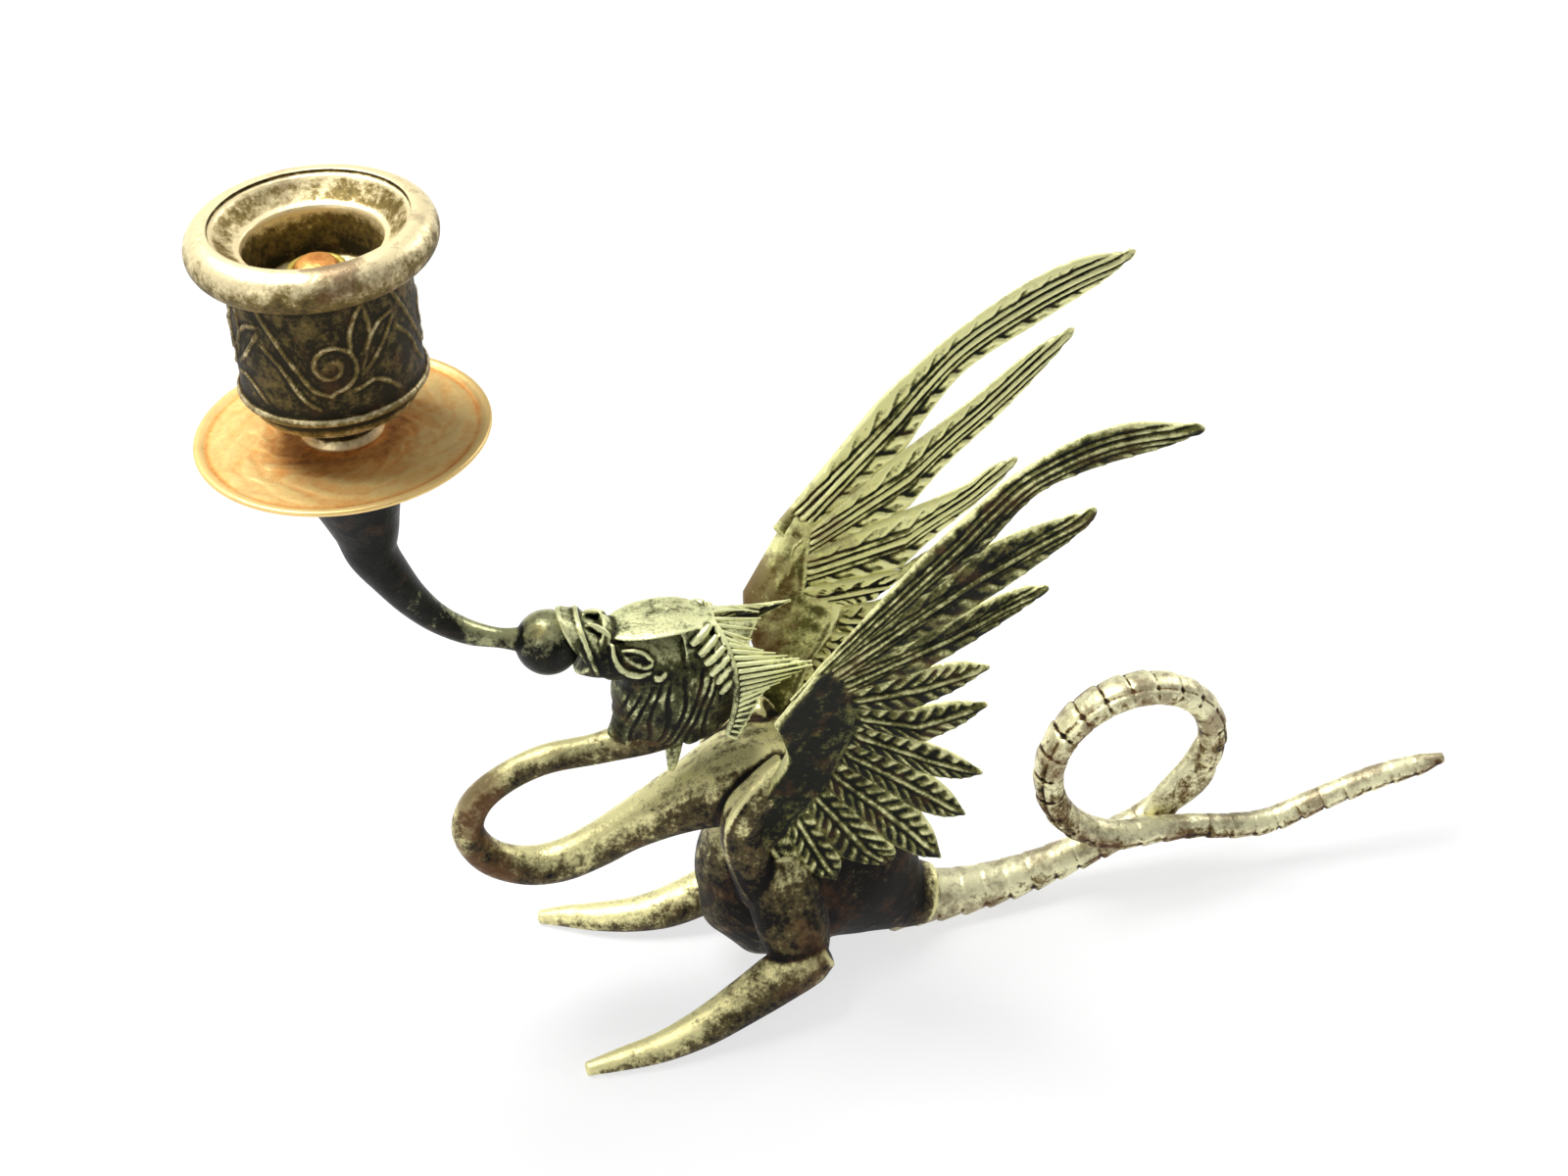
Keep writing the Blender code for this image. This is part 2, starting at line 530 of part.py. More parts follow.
def dragon_body(material):
    """The main casting: neck, body, head, legs and looped tail."""
    neck, *others = flank_parts()
    for side, shank in ((-1, LEFT_SHANK), (1, RIGHT_SHANK)):
        others.append(limb("shank", mirrored(shank, side), 1))
        others.append(frill(side))
        others += [limb("lock", from_ball(mirrored(lock, side)), 1, sides=6) for lock in BEARD_LOCKS]
        eye_x, eye_y, eye_z = (MM * value for value in from_ball(mirrored([EYE], side))[0])
        others.append(sphere("eye", (eye_x, eye_y, eye_z), EYE_RADIUS * MM, 8))
    others.append(limb("head", head_keys(), 1, sides=16))
    others.append(limb("brow", from_ball([(x, 0.0, z, w, h) for x, z, w, h in BROW]), 2, sides=6))
    others.append(limb("beard_spike", from_ball(BEARD_SPIKE), 2, sides=6))
    others += [tail_web(), *tail_parts()]
    body = combine(neck, others)
    socket = sphere("ball_socket", (BALL_X, 0.0, BALL_Z), BALL_RADIUS + SEAM, 16)
    combine(body, [socket, half_space_below()], "DIFFERENCE")
    return publish(body, "dragon_body", material)


# Wing outline in the x, z plane, from the leading edge round to the lowest feather.
# The root is the edge of the smooth shoulder plate, the base is where the feathers begin.
WING_ROOT = [(-20.1, 69.1), (-19.0, 65.5), (-18.2, 62.0), (-17.6, 59.0), (-17.5, 56.5), (-18.2, 54.3),
             (-19.5, 52.0), (-21.0, 49.5), (-22.8, 46.5), (-24.5, 43.0), (-26.0, 39.0), (-27.0, 34.5)]
WING_BASE = [(-12.5, 79.3), (-9.4, 79.0), (-7.2, 76.0), (-6.2, 71.5), (-5.6, 67.2), (-5.5, 62.8),
             (-6.7, 58.8), (-8.4, 54.1), (-11.1, 48.3), (-14.5, 43.2), (-18.5, 38.5), (-24.5, 32.5)]
WING_NOTCH = [(8.0, 103.8), (16.1, 101.3), (13.4, 87.3), (6.6, 74.8), (4.0, 65.2), (5.9, 56.9),
              (7.3, 48.3), (5.0, 40.2), (-0.2, 33.0), (-9.5, 31.5), (-15.5, 29.5), (-21.5, 28.0)]
WING_TIP = [(50.9, 121.3), (34.2, 106.6), (26.9, 90.0), (17.3, 73.2), (17.0, 64.3), (16.1, 47.9),
            (12.9, 38.4), (8.3, 28.8), (-0.8, 28.2), (-10.5, 26.5), (-16.5, 25.0)]
# Points on the free edges of the three long feathers: leading side, then trailing side
LEFT_LONG = [([(15.3, 111.3), (21.5, 117.0), (32.6, 123.1), (41.0, 123.9)],
              [(24.5, 111.8), (32.9, 115.6), (45.7, 118.7)]),
             ([(24.7, 104.8)], [(19.2, 91.5), (24.9, 96.1), (32.8, 103.4)]),
             ([(22.1, 90.9)], [(13.4, 79.3), (22.2, 86.0)])]
RIGHT_ROOT = [(-18.4, 70.8)]
RIGHT_BASE = [(-8.0, 87.3), (-5.2, 82.5), (-6.3, 77.5), (-7.5, 71.2), (-1.2, 65.6), (-3.6, 60.8),
              (-6.6, 57.2)]
RIGHT_NOTCH = [(10.5, 106.7), (13.0, 94.8), (12.3, 82.4), (10.0, 70.5)]
RIGHT_TIP = [(55.4, 122.6), (43.9, 110.4), (32.7, 87.3)]
RIGHT_LONG = [([(22.1, 114.9), (35.0, 121.4), (45.8, 123.8)],
               [(16.8, 99.8), (24.2, 107.0), (37.2, 112.9), (50.2, 118.6)]),
              ([(23.9, 100.9), (37.1, 108.8)], [(19.5, 89.3), (30.2, 97.3), (40.2, 106.0)]),
              ([(23.1, 84.8), (27.8, 87.2)], [(16.1, 75.0), (28.3, 82.7)])]
WING_CENTRE = (-20.0, 42.0)
WING_ROOT_Y = 10.5             # distance of the sheet from the middle plane at its centre
WING_FLARE = 0.135             # outward lean of the feathers
LEADING_RAISE = 4.0            # the leading edge curls outward by this much
LEADING_SHARE = {0: 1.0, 1: 0.3, 2: 0.15}
FEATHER_BULGE = 0.10           # sideways swell of the short feathers
PLATE_STEPS, SHARED_STEPS, FREE_STEPS = 2, 4, 3
LONG_STEPS = (11, 7, 7)        # steps along the free part of each long feather
BARB_SWEEP = 0.8               # a barb runs this many rows forward from the quill to the edge


def sheet_y(x, z, boundary):
    """Distance of the wing's sheet from the middle plane: dished, with a raised leading edge."""
    away = math.hypot(x - WING_CENTRE[0], z - WING_CENTRE[1])
    curl = LEADING_RAISE * LEADING_SHARE.get(boundary, 0.0) * math.exp(-(away / 50.0) ** 2)
    return WING_ROOT_Y + WING_FLARE * away + curl


def leaf_edge(notch, tip, other_notch):
    """One swelling point halfway along the free edge of a short feather."""
    a, b, c = (np.array(p, dtype=float) for p in (notch, tip, other_notch))
    outward = a - c
    middle = 0.45 * a + 0.55 * b
    return [tuple(middle + outward * FEATHER_BULGE * 2)]


def as_rows(points):
    """Points of the x, z plane as rows of three numbers."""
    return [(x, 0.0, z) for x, z in points]


def wing(side, root, base, notch, tips, long_edges):
    """One wing: a dished sheet of feathers with quills, each with its own free tip."""
    feathers = len(tips)
    notch_row = PLATE_STEPS + SHARED_STEPS
    last_rows = [notch_row + (LONG_STEPS[f] if f < len(long_edges) else FREE_STEPS) for f in range(feathers)]
    shared = []
    for k in range(feathers + 1):
        plate = smooth_rows(as_rows([root[k], base[k]]), PLATE_STEPS)
        inner = smooth_rows(as_rows([base[k], notch[k]]), SHARED_STEPS)
        shared.append(np.vstack([plate[:-1], inner]))
    places = {}
    for f, last_row in enumerate(last_rows):
        free_steps = last_row - notch_row
        if f < len(long_edges):
            leading, trailing = long_edges[f]
        else:
            leading = leaf_edge(notch[f], tips[f], notch[f + 1])
            trailing = leaf_edge(notch[f + 1], tips[f], notch[f])
        for edge, boundary, middle in (("lead", f, leading), ("trail", f + 1, trailing)):
            free = resampled(smooth_rows(as_rows([notch[boundary], *middle, tips[f]]), 6), free_steps)
            for row in range(last_row + 1):
                point = shared[boundary][row] if row <= notch_row else free[row - notch_row]
                fade = max(0.0, 1.0 - max(0, row - notch_row) / free_steps)
                y = sheet_y(point[0], point[2], boundary)
                places[edge, f, row] = (point[0], y, point[2], fade)
    return wing_mesh(side, notch_row, last_rows, places)


def wing_mesh(side, notch_row, last_rows, places):
    """Faces of the outer side, the inner side and the rim between them."""
    bm = bmesh.new()
    verts = {}
    half = 0.5 * WING_THICKNESS / MM
    rib, barb, ledge = RIB_HEIGHT / MM, BARB_HEIGHT / MM, LEDGE_HEIGHT / MM
    feathers = len(last_rows)

    def corner(column, f, row, outer):
        boundary = f if column == "lead" else f + 1
        if row == last_rows[f]:
            key = ("tip", f, row, outer)
        elif column == "rib":
            key = ("rib", f, row, outer)
        elif row <= notch_row:
            key = ("boundary", boundary, row, outer)
        else:
            key = (column, f, row, outer)
        if key not in verts:
            verts[key] = bm.verts.new(place(column, f, row, outer))
        return verts[key]

    def place(column, f, row, outer):
        feathered = PLATE_STEPS < row < last_rows[f]
        if column == "rib" or row == last_rows[f]:
            middle = 0.5 * (np.array(places["lead", f, row]) + np.array(places["trail", f, row]))
            if feathered:
                before = 0.5 * (np.array(places["lead", f, row - 1]) + np.array(places["trail", f, row - 1]))
                middle = (1 - BARB_SWEEP) * middle + BARB_SWEEP * before
            x, y, z, fade = middle
        else:
            x, y, z, fade = places[column, f, row]
        raised = rib if column == "rib" and feathered else 0.0
        raised += barb if feathered and (row - PLATE_STEPS) % 2 else 0.0
        lift = half * (0.55 + 0.45 * fade) + raised * (0.4 + 0.6 * fade)
        if outer:
            step = ledge if row > PLATE_STEPS else 0.0
            return Vector((x, side * (y + lift + step * 0.5), z)) * MM
        return Vector((x, side * (y - lift), z)) * MM

    def face(*corners):
        loop = []
        for vert in corners:
            if vert not in loop:
                loop.append(vert)
        if len(loop) > 2:
            bm.faces.new(loop)

    for f in range(feathers):
        for row in range(last_rows[f]):
            for left, right in (("lead", "rib"), ("rib", "trail")):
                for outer in (True, False):
                    face(corner(left, f, row, outer), corner(right, f, row, outer),
                         corner(right, f, row + 1, outer), corner(left, f, row + 1, outer))
            for column in ("lead", "trail"):
                rim = row >= notch_row or (f == 0 and column == "lead")
                rim = rim or (f == feathers - 1 and column == "trail")
                if rim:
                    face(corner(column, f, row, True), corner(column, f, row, False),
                         corner(column, f, row + 1, False), corner(column, f, row + 1, True))
        for left, right in (("lead", "rib"), ("rib", "trail")):
            face(corner(left, f, 0, True), corner(right, f, 0, True),
                 corner(right, f, 0, False), corner(left, f, 0, False))
    bmesh.ops.recalc_face_normals(bm, faces=bm.faces)
    mesh = bpy.data.meshes.new("wing")
    bm.to_mesh(mesh)
    bm.free()
    return add_object("wing", mesh)


def wings(material):
    """Both wings, each seated on the flank with a seam all round."""
    seat = flank_parts(SEAM)
    sets = {-1: ("left_wing", WING_ROOT, WING_BASE, WING_NOTCH, WING_TIP, LEFT_LONG),
            1: ("right_wing", RIGHT_ROOT + WING_ROOT[1:], RIGHT_BASE + WING_BASE[7:],
                RIGHT_NOTCH + WING_NOTCH[4:], RIGHT_TIP + WING_TIP[3:], RIGHT_LONG)}
    for side, (name, *outline) in sets.items():
        piece = wing(side, *outline)
        combine(piece, seat, "DIFFERENCE")
        publish(piece, name, material)


def main():
    """Build every piece."""
    clear_scene()
    make_collections()
    bronze, dark, copper, brass = (make_material(name) for name in COLOURS)
    frame = candle_frame()
    dragon_body(bronze)
    wings(bronze)
    candle_arm(frame, dark)
    turned_on_candle("drip_pan", pan_outline(), copper, frame, PAN_STEPS)
    turned_on_candle("candle_cup", cup_outline(), brass, frame)
    turned_on_candle("cup_nut", nut_outline(), brass, frame, SMALL_STEPS)
    turned_on_candle("cup_stud", stud_outline(), copper, frame, SMALL_STEPS)


main()
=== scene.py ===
# %% [markdown]
# # Dragon candlestick
# A patinated bronze dragon stands on two feet and a looped tail, and holds a candle cup on an arm
# in its jaws. The solids from the part's source fix every size and place. This script dresses them
# with carved relief and worn metal, and sets up a plain studio.

# %% Load the solids
import math
from functools import partial
import bpy
import numpy as np
from mathutils import Matrix, Vector


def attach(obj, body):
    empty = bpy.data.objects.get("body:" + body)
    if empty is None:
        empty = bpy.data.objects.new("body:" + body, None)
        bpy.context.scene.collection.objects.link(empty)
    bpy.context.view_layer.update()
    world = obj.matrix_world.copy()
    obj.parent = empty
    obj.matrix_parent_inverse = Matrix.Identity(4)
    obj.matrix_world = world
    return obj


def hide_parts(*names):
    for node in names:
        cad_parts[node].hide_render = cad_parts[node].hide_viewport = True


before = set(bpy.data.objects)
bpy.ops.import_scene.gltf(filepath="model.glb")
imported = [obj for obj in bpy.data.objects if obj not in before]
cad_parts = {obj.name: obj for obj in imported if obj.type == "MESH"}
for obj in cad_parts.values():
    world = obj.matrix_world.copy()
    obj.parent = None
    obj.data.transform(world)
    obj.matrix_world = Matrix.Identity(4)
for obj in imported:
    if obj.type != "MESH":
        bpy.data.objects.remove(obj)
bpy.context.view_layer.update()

MM = 0.001


def put(name, data):
    """A new object in the scene."""
    obj = bpy.data.objects.new(name, data)
    bpy.context.scene.collection.objects.link(obj)
    return obj

# %% [markdown]
# ## Camera
# The photograph was taken with a phone at arm's length, from the dragon's left and well above it.
# The angle, the distance and a small roll were worked out from the round cup, the pan and the feet.

# %% Camera
AZIMUTH, ELEVATION, ROLL = (math.radians(a) for a in (-9.36, 38.85, -4.28))
TARGET = Vector((-0.01392, 0.0, 0.08395))
DISTANCE = 0.4976
LENS_MM, SENSOR_MM = 67.5, 36.0


def make_camera():
    """The photograph's camera."""
    back = Vector((math.sin(AZIMUTH) * math.cos(ELEVATION), -math.cos(AZIMUTH) * math.cos(ELEVATION),
                   math.sin(ELEVATION)))
    level = Vector((math.cos(AZIMUTH), math.sin(AZIMUTH), 0.0))
    upright = back.cross(level)
    right = math.cos(ROLL) * level + math.sin(ROLL) * upright
    up = math.cos(ROLL) * upright - math.sin(ROLL) * level
    data = bpy.data.cameras.new("camera")
    data.lens, data.sensor_width = LENS_MM, SENSOR_MM
    data.clip_start, data.clip_end = 0.01, 20.0
    camera = put("camera", data)
    turn = Matrix((right, up, back)).transposed().to_4x4()
    camera.matrix_world = Matrix.Translation(TARGET + back * DISTANCE) @ turn
    bpy.context.scene.camera = camera
    return camera


camera = make_camera()
print("camera at", [round(c, 3) for c in camera.location])

# %% [markdown]
# ## Tools for shaping
# Organic castings are modelled like clay: tapered limbs are laid over each other, fused on a fine
# grid of voxels and relaxed. Turned pieces and feathers keep their own regular grids instead,
# because those carry crisp relief better. All measures below are in millimetres.

# %% Curves and limbs


def smooth_rows(keys, steps):
    """A smooth curve through rows of numbers, with the same count of steps in each span."""
    rows = np.array(keys, dtype=float)
    lengths = np.linalg.norm(np.diff(rows[:, :3], axis=0), axis=1)
    times = np.concatenate([[0.0], np.cumsum(np.maximum(lengths, 1e-9))])
    slopes = np.empty_like(rows)
    slopes[1:-1] = (rows[2:] - rows[:-2]) / (times[2:] - times[:-2])[:, None]
    slopes[0] = (rows[1] - rows[0]) / (times[1] - times[0])
    slopes[-1] = (rows[-1] - rows[-2]) / (times[-1] - times[-2])
    curve = []
    for i in range(len(rows) - 1):
        span = times[i + 1] - times[i]
        for t in np.arange(steps) / steps:
            curve.append((2 * t**3 - 3 * t**2 + 1) * rows[i] + (t**3 - 2 * t**2 + t) * span * slopes[i]
                         + (3 * t**2 - 2 * t**3) * rows[i + 1] + (t**3 - t**2) * span * slopes[i + 1])
    curve.append(rows[-1])
    return np.array(curve)


def resampled(curve, count):
    """The same curve with count + 1 rows at even distances."""
    steps = np.linalg.norm(np.diff(curve[:, :3], axis=0), axis=1)
    travelled = np.concatenate([[0.0], np.cumsum(steps)])
    places = np.linspace(0.0, travelled[-1], count + 1)
    return np.stack([np.interp(places, travelled, curve[:, c]) for c in range(curve.shape[1])], axis=1)


def frames(rows):
    """Sideways and upward directions along a path that mostly stays near the middle plane."""
    tangents = np.gradient(rows[:, :3], axis=0)
    tangents /= np.linalg.norm(tangents, axis=1)[:, None]
    across = np.array([0.0, 1.0, 0.0]) - tangents[:, 1:2] * tangents
    across /= np.linalg.norm(across, axis=1)[:, None]
    return across, np.cross(tangents, across)


def grid_faces(rings, sides):
    """Faces between rings of equal count, with a flat face on each end."""
    k = np.arange(sides)
    faces = []
    for r in range(rings - 1):
        a, b = r * sides, (r + 1) * sides
        faces += np.stack([a + k, a + (k + 1) % sides, b + (k + 1) % sides, b + k], axis=1).tolist()
    return faces + [list(range(sides))[::-1], list(range((rings - 1) * sides, rings * sides))]


def full_turn(sides):
    """Evenly spread angles around a circle."""
    return np.linspace(0.0, 2 * math.pi, sides, endpoint=False)


def skin(rows, angle, relief=0.0):
    """Rings about a path; a row is x, y, z, half width across Y and half height square to the path."""
    across, upward = frames(rows)
    ring = (across[:, None] * ((rows[:, 3, None] + relief) * np.cos(angle))[..., None]
            + upward[:, None] * ((rows[:, 4, None] + relief) * np.sin(angle))[..., None])
    return (rows[:, None, :3] + ring).reshape(-1, 3)


def limb(keys, steps=6, sides=24):
    """A closed limb through rows as skin takes them."""
    rows = smooth_rows(keys, steps)
    return skin(rows, full_turn(sides)), grid_faces(len(rows), sides)


def cord_of_clay(keys, steps=5):
    """A round tapered strand laid along any path; a row is x, y, z, radius."""
    sides = 10
    rows = smooth_rows(keys, steps)
    tangents = np.gradient(rows[:, :3], axis=0)
    tangents /= np.linalg.norm(tangents, axis=1)[:, None] + 1e-12
    first = np.cross(tangents, np.array([0.31, 0.87, 0.39]))
    first /= np.linalg.norm(first, axis=1)[:, None] + 1e-12
    second = np.cross(tangents, first)
    angle = full_turn(sides)
    ring = first[:, None] * np.cos(angle)[:, None] + second[:, None] * np.sin(angle)[:, None]
    verts = (rows[:, None, :3] + ring * np.maximum(rows[:, 3], 0.05)[:, None, None]).reshape(-1, 3)
    return verts, grid_faces(len(rows), sides)


def ball_of_clay(centre, radii, sides=24):
    """An ellipsoid."""
    lat = np.linspace(-0.5 * math.pi + 0.05, 0.5 * math.pi - 0.05, sides // 2)
    lon = full_turn(sides)
    unit = np.stack([np.cos(lat)[:, None] * np.cos(lon), np.cos(lat)[:, None] * np.sin(lon),
                     np.repeat(np.sin(lat)[:, None], sides, 1)], axis=-1).reshape(-1, 3)
    return np.array(centre) + unit * np.array(radii), grid_faces(len(lat), sides)


def mirrored(keys, side):
    """Stations given for +Y, put on the side asked for."""
    return [(x, side * y, z, *rest) for x, y, z, *rest in keys]


# %% [markdown]
# ## Fusing and reading the surface
# After fusing, each vertex learns how far it stands out of its surroundings, finely and broadly.
# The materials read that: hands polish what stands out, and patina gathers in the hollows.
# How far each vertex faces up is read as well, and the materials paint it as top light: paler tops,
# darker undersides.

# %% Meshes and surface reading
PULL, PUSH = 0.55, 0.58              # smoothing that keeps a shape's volume
FINE_ROUNDS, BROAD_ROUNDS = 3, 24    # rounds of averaging behind the readings


def new_object(name, verts, faces):
    """A finished mesh at the origin, from measures in millimetres."""
    mesh = bpy.data.meshes.new(name)
    mesh.from_pydata((np.asarray(verts) * MM).tolist(), [], faces)
    mesh.validate()
    mesh.update()
    mesh.shade_smooth()
    return put(name, mesh)


def facing_out(verts, faces):
    """The faces of one closed shape, turned so that they face outward."""
    quads = np.array([f for f in faces if len(f) == 4])
    a, b, c, d = (verts[quads[:, k]] for k in range(4))
    volume = (np.cross(b - a, c - a) * a).sum() + (np.cross(c - a, d - a) * a).sum()
    for cap in (f for f in faces if len(f) != 4):
        ring = verts[cap]
        volume += (np.cross(ring[1:-1] - ring[0], ring[2:] - ring[0]) * ring[0]).sum()
    return [f[::-1] for f in faces] if volume < 0 else faces


def joined(shapes):
    """Several closed shapes as one list of vertices and faces."""
    verts, faces, count = [], [], 0
    for points, loops in shapes:
        verts.append(points)
        faces += [[i + count for i in loop] for loop in facing_out(points, loops)]
        count += len(points)
    return np.vstack(verts), faces


def coordinates(mesh):
    """Vertex places in millimetres."""
    flat = np.empty(len(mesh.vertices) * 3)
    mesh.vertices.foreach_get("co", flat)
    return flat.reshape(-1, 3) / MM


def set_coordinates(mesh, places):
    """Move the vertices."""
    mesh.vertices.foreach_set("co", (places * MM).ravel())
    mesh.update()


def vertex_normals(mesh):
    """Unit normals at the vertices."""
    flat = np.empty(len(mesh.vertices) * 3)
    mesh.vertex_normals.foreach_get("vector", flat)
    return flat.reshape(-1, 3)


class Neighbours:
    """Averages over the vertices that share an edge."""

    def __init__(self, mesh):
        flat = np.empty(len(mesh.edges) * 2, dtype=np.int64)
        mesh.edges.foreach_get("vertices", flat)
        self.a, self.b = flat[0::2], flat[1::2]
        self.size = len(mesh.vertices)
        uses = np.bincount(np.concatenate([self.a, self.b]), minlength=self.size)
        self.count = np.maximum(uses, 1)

    def mean(self, values):
        values = values.reshape(self.size, -1)
        out = np.empty_like(values)
        for c in range(values.shape[1]):
            total = np.bincount(self.a, values[self.b, c], self.size)
            total += np.bincount(self.b, values[self.a, c], self.size)
            out[:, c] = total / self.count
        return out

    def relaxed(self, places, rounds):
        for _ in range(rounds):
            places = places + PULL * (self.mean(places) - places)
            places = places - PUSH * (self.mean(places) - places)
        return places


def store(mesh, name, values):
    """Keep one number per vertex for the materials."""
    attribute = mesh.attributes.new(name, "FLOAT", "POINT")
    attribute.data.foreach_set("value", np.ascontiguousarray(values, dtype=np.float32))


def step_up(values, low, high):
    """0 below low, 1 above high and a smooth rise between them."""
    t = np.clip((values - low) / (high - low), 0.0, 1.0)
    return t * t * (3 - 2 * t)


def read_surface(obj, sky, fine_mm, broad_mm):
    """Store how far each vertex stands out, -1 in a hollow to 1 on an edge, and how far it faces up for
    painted top light.
    """
    mesh = obj.data
    near = Neighbours(mesh)
    places, normals = coordinates(mesh), vertex_normals(mesh)
    around = places
    for name, rounds, scale in (("edge", FINE_ROUNDS, fine_mm),
                                ("form", BROAD_ROUNDS - FINE_ROUNDS, broad_mm)):
        for _ in range(rounds):
            around = near.mean(around)
        raised = ((places - around) * normals).sum(1)
        store(mesh, name, np.clip(near.mean(raised)[:, 0] / scale, -1, 1))
    # How far a vertex faces up, which the materials paint as top light: paler tops, darker undersides.
    store(mesh, "sky", step_up(normals[:, 2], *sky))


def fused(name, shapes, voxel, rounds):
    """Overlapping shapes as one skin."""
    obj = new_object(name, *joined(shapes))
    remesh = obj.modifiers.new("fuse", "REMESH")
    remesh.mode = "VOXEL"
    remesh.voxel_size = voxel * MM
    evaluated = obj.evaluated_get(bpy.context.evaluated_depsgraph_get())
    mesh = bpy.data.meshes.new_from_object(evaluated)
    obj.modifiers.clear()
    obj.data = mesh
    mesh.shade_smooth()
    set_coordinates(mesh, Neighbours(mesh).relaxed(coordinates(mesh), rounds))
    return obj


def distance_to(points, path):
    """Distance from each point to a polyline, and how far along it the nearest place lies (0 to 1)."""
    best = np.full(len(points), 1e9)
    along = np.zeros(len(points))
    count = len(path) - 1
    for i in range(count):
        start, leg = path[i], path[i + 1] - path[i]
        t = np.clip(((points - start) @ leg) / max(leg @ leg, 1e-12), 0.0, 1.0)
        gap = np.linalg.norm(points - start - t[:, None] * leg, axis=1)
        closer = gap < best
        best[closer], along[closer] = gap[closer], (i + t[closer]) / count
    return best, along


def carve(obj, path, depth, width):
    """Press a groove (or raise a ridge, with a negative depth) along a path."""
    mesh = obj.data
    places, normals = coordinates(mesh), vertex_normals(mesh)
    path = np.asarray(path, dtype=float)[:, :3]
    low, high = path.min(0) - 3 * width, path.max(0) + 3 * width
    near = np.where(((places > low) & (places < high)).all(1))[0]
    gap, along = distance_to(places[near], path)
    taper = np.clip(np.minimum(along, 1 - along) * 5, 0, 1) ** 0.6
    places[near] -= normals[near] * (depth * taper * np.exp(-(gap / width) ** 2))[:, None]
    set_coordinates(mesh, places)

# %% [markdown]
# ## Neck, body and legs
# The main casting is one skin in the real thing. The neck springs from the breast, doubles back
# over itself and carries the head; the legs lie flat with the soles on the floor. The clay limbs
# follow the same stations as the solid, with many more sides, and the floor cuts the soles flat.

# %% Body
BALL = np.array([-54.7, 0.0, 81.5])
BALL_RADIUS = 5.6
BREAST_X = -34.0
NECK = [(-28.0, 0, 63.0, 4.2, 4.2), (-37.0, 0, 58.2, 4.0, 4.0), (-48.0, 0, 56.0, 2.8, 2.8),
        (-58.0, 0, 55.7, 2.65, 2.65), (-65.5, 0, 53.0, 2.6, 2.6), (-71.0, 0, 48.6, 2.75, 2.75),
        (-73.2, 0, 42.5, 2.9, 2.9), (-70.5, 0, 35.8, 3.2, 3.2), (-64.5, 0, 31.8, 3.5, 3.5),
        (-58.0, 0, 31.2, 3.8, 3.8), (-51.5, 0, 33.2, 4.0, 4.0), (-44.5, 0, 36.6, 4.6, 4.3),
        (-35.0, 0, 40.4, 6.6, 5.6), (-26.0, 0, 43.0, 9.6, 7.6), (-18.5, 0, 43.6, 11.6, 8.4),
        (-11.0, 0, 41.0, 10.6, 8.0), (-5.0, 0, 36.5, 7.0, 6.0)]
EGG = [(0.6, 26.5, 0.8, 0.8), (1.6, 26.2, 4.4, 6.0), (4.2, 25.4, 7.6, 11.4), (8.0, 23.8, 10.2, 16.4),
       (13.6, 22.0, 12.0, 20.6), (20.0, 19.6, 12.4, 19.9), (27.0, 16.2, 11.5, 16.6),
       (33.0, 11.0, 8.8, 11.4), (38.0, 7.2, 6.6, 7.5), (43.0, 5.4, 5.6, 5.7)]
SHOULDER = [(-17.0, 7.5, 51.0, 2.6, 2.6), (-21.0, 8.6, 48.0, 3.4, 3.4), (-25.3, 9.6, 44.0, 3.9, 3.9),
            (-26.2, 9.6, 38.0, 4.0, 4.0), (-24.8, 9.6, 32.0, 4.6, 4.6), (-22.0, 9.4, 25.0, 6.0, 6.0)]
LEFT_THIGH = [(-21.0, 8.0, 31.0, 5.5, 5.6), (-20.2, 11.0, 26.0, 6.0, 6.6), (-19.4, 13.2, 20.5, 5.8, 6.8),
              (-18.6, 15.2, 15.0, 5.0, 6.0), (-18.0, 16.4, 11.6, 3.8, 4.6)]
RIGHT_THIGH = [(-21.0, 7.6, 31.0, 5.5, 5.6), (-20.2, 9.8, 26.0, 6.0, 6.6), (-19.2, 11.6, 20.5, 5.8, 6.8),
               (-18.0, 13.0, 15.0, 5.0, 6.0), (-17.2, 13.8, 11.6, 3.8, 4.6)]
LEFT_SHANK = [(-13.8, 17.0, 13.6, 3.0, 3.2), (-17.0, 17.2, 12.4, 4.5, 4.7),
              (-22.6, 18.0, 10.0, 4.6, 4.8), (-30.4, 19.4, 6.6, 4.1, 4.1),
              (-38.0, 20.8, 3.8, 3.6, 3.4), (-46.0, 22.0, 2.2, 3.0, 2.5),
              (-54.0, 22.4, 1.5, 2.2, 1.8), (-60.0, 22.6, 1.0, 1.3, 1.2)]
RIGHT_SHANK = [(-11.0, 15.0, 13.0, 3.0, 3.2), (-15.0, 14.6, 12.0, 4.4, 4.6),
               (-23.0, 12.0, 9.2, 4.6, 4.6), (-31.0, 11.0, 6.3, 4.4, 4.2),
               (-38.5, 10.8, 4.0, 4.0, 3.8), (-45.0, 11.6, 2.9, 3.5, 3.1),
               (-52.0, 13.6, 2.2, 2.9, 2.5), (-58.0, 16.0, 1.6, 2.1, 1.9),
               (-62.6, 17.6, 1.0, 1.3, 1.2)]
SHOULDER_RIDGE = [(-22.0, 10.6, 51.5), (-25.8, 12.0, 48.6), (-29.2, 12.4, 43.6),
                  (-30.4, 12.2, 38.0), (-29.2, 12.6, 31.0), (-26.6, 13.6, 25.0)]
BODY_VOXEL, BODY_ROUNDS = 0.36, 30
SOLE_Z = 0.02


def on_floor(obj):
    """Press everything below the floor flat."""
    places = coordinates(obj.data)
    places[:, 2] = np.maximum(places[:, 2], SOLE_Z)
    set_coordinates(obj.data, places)


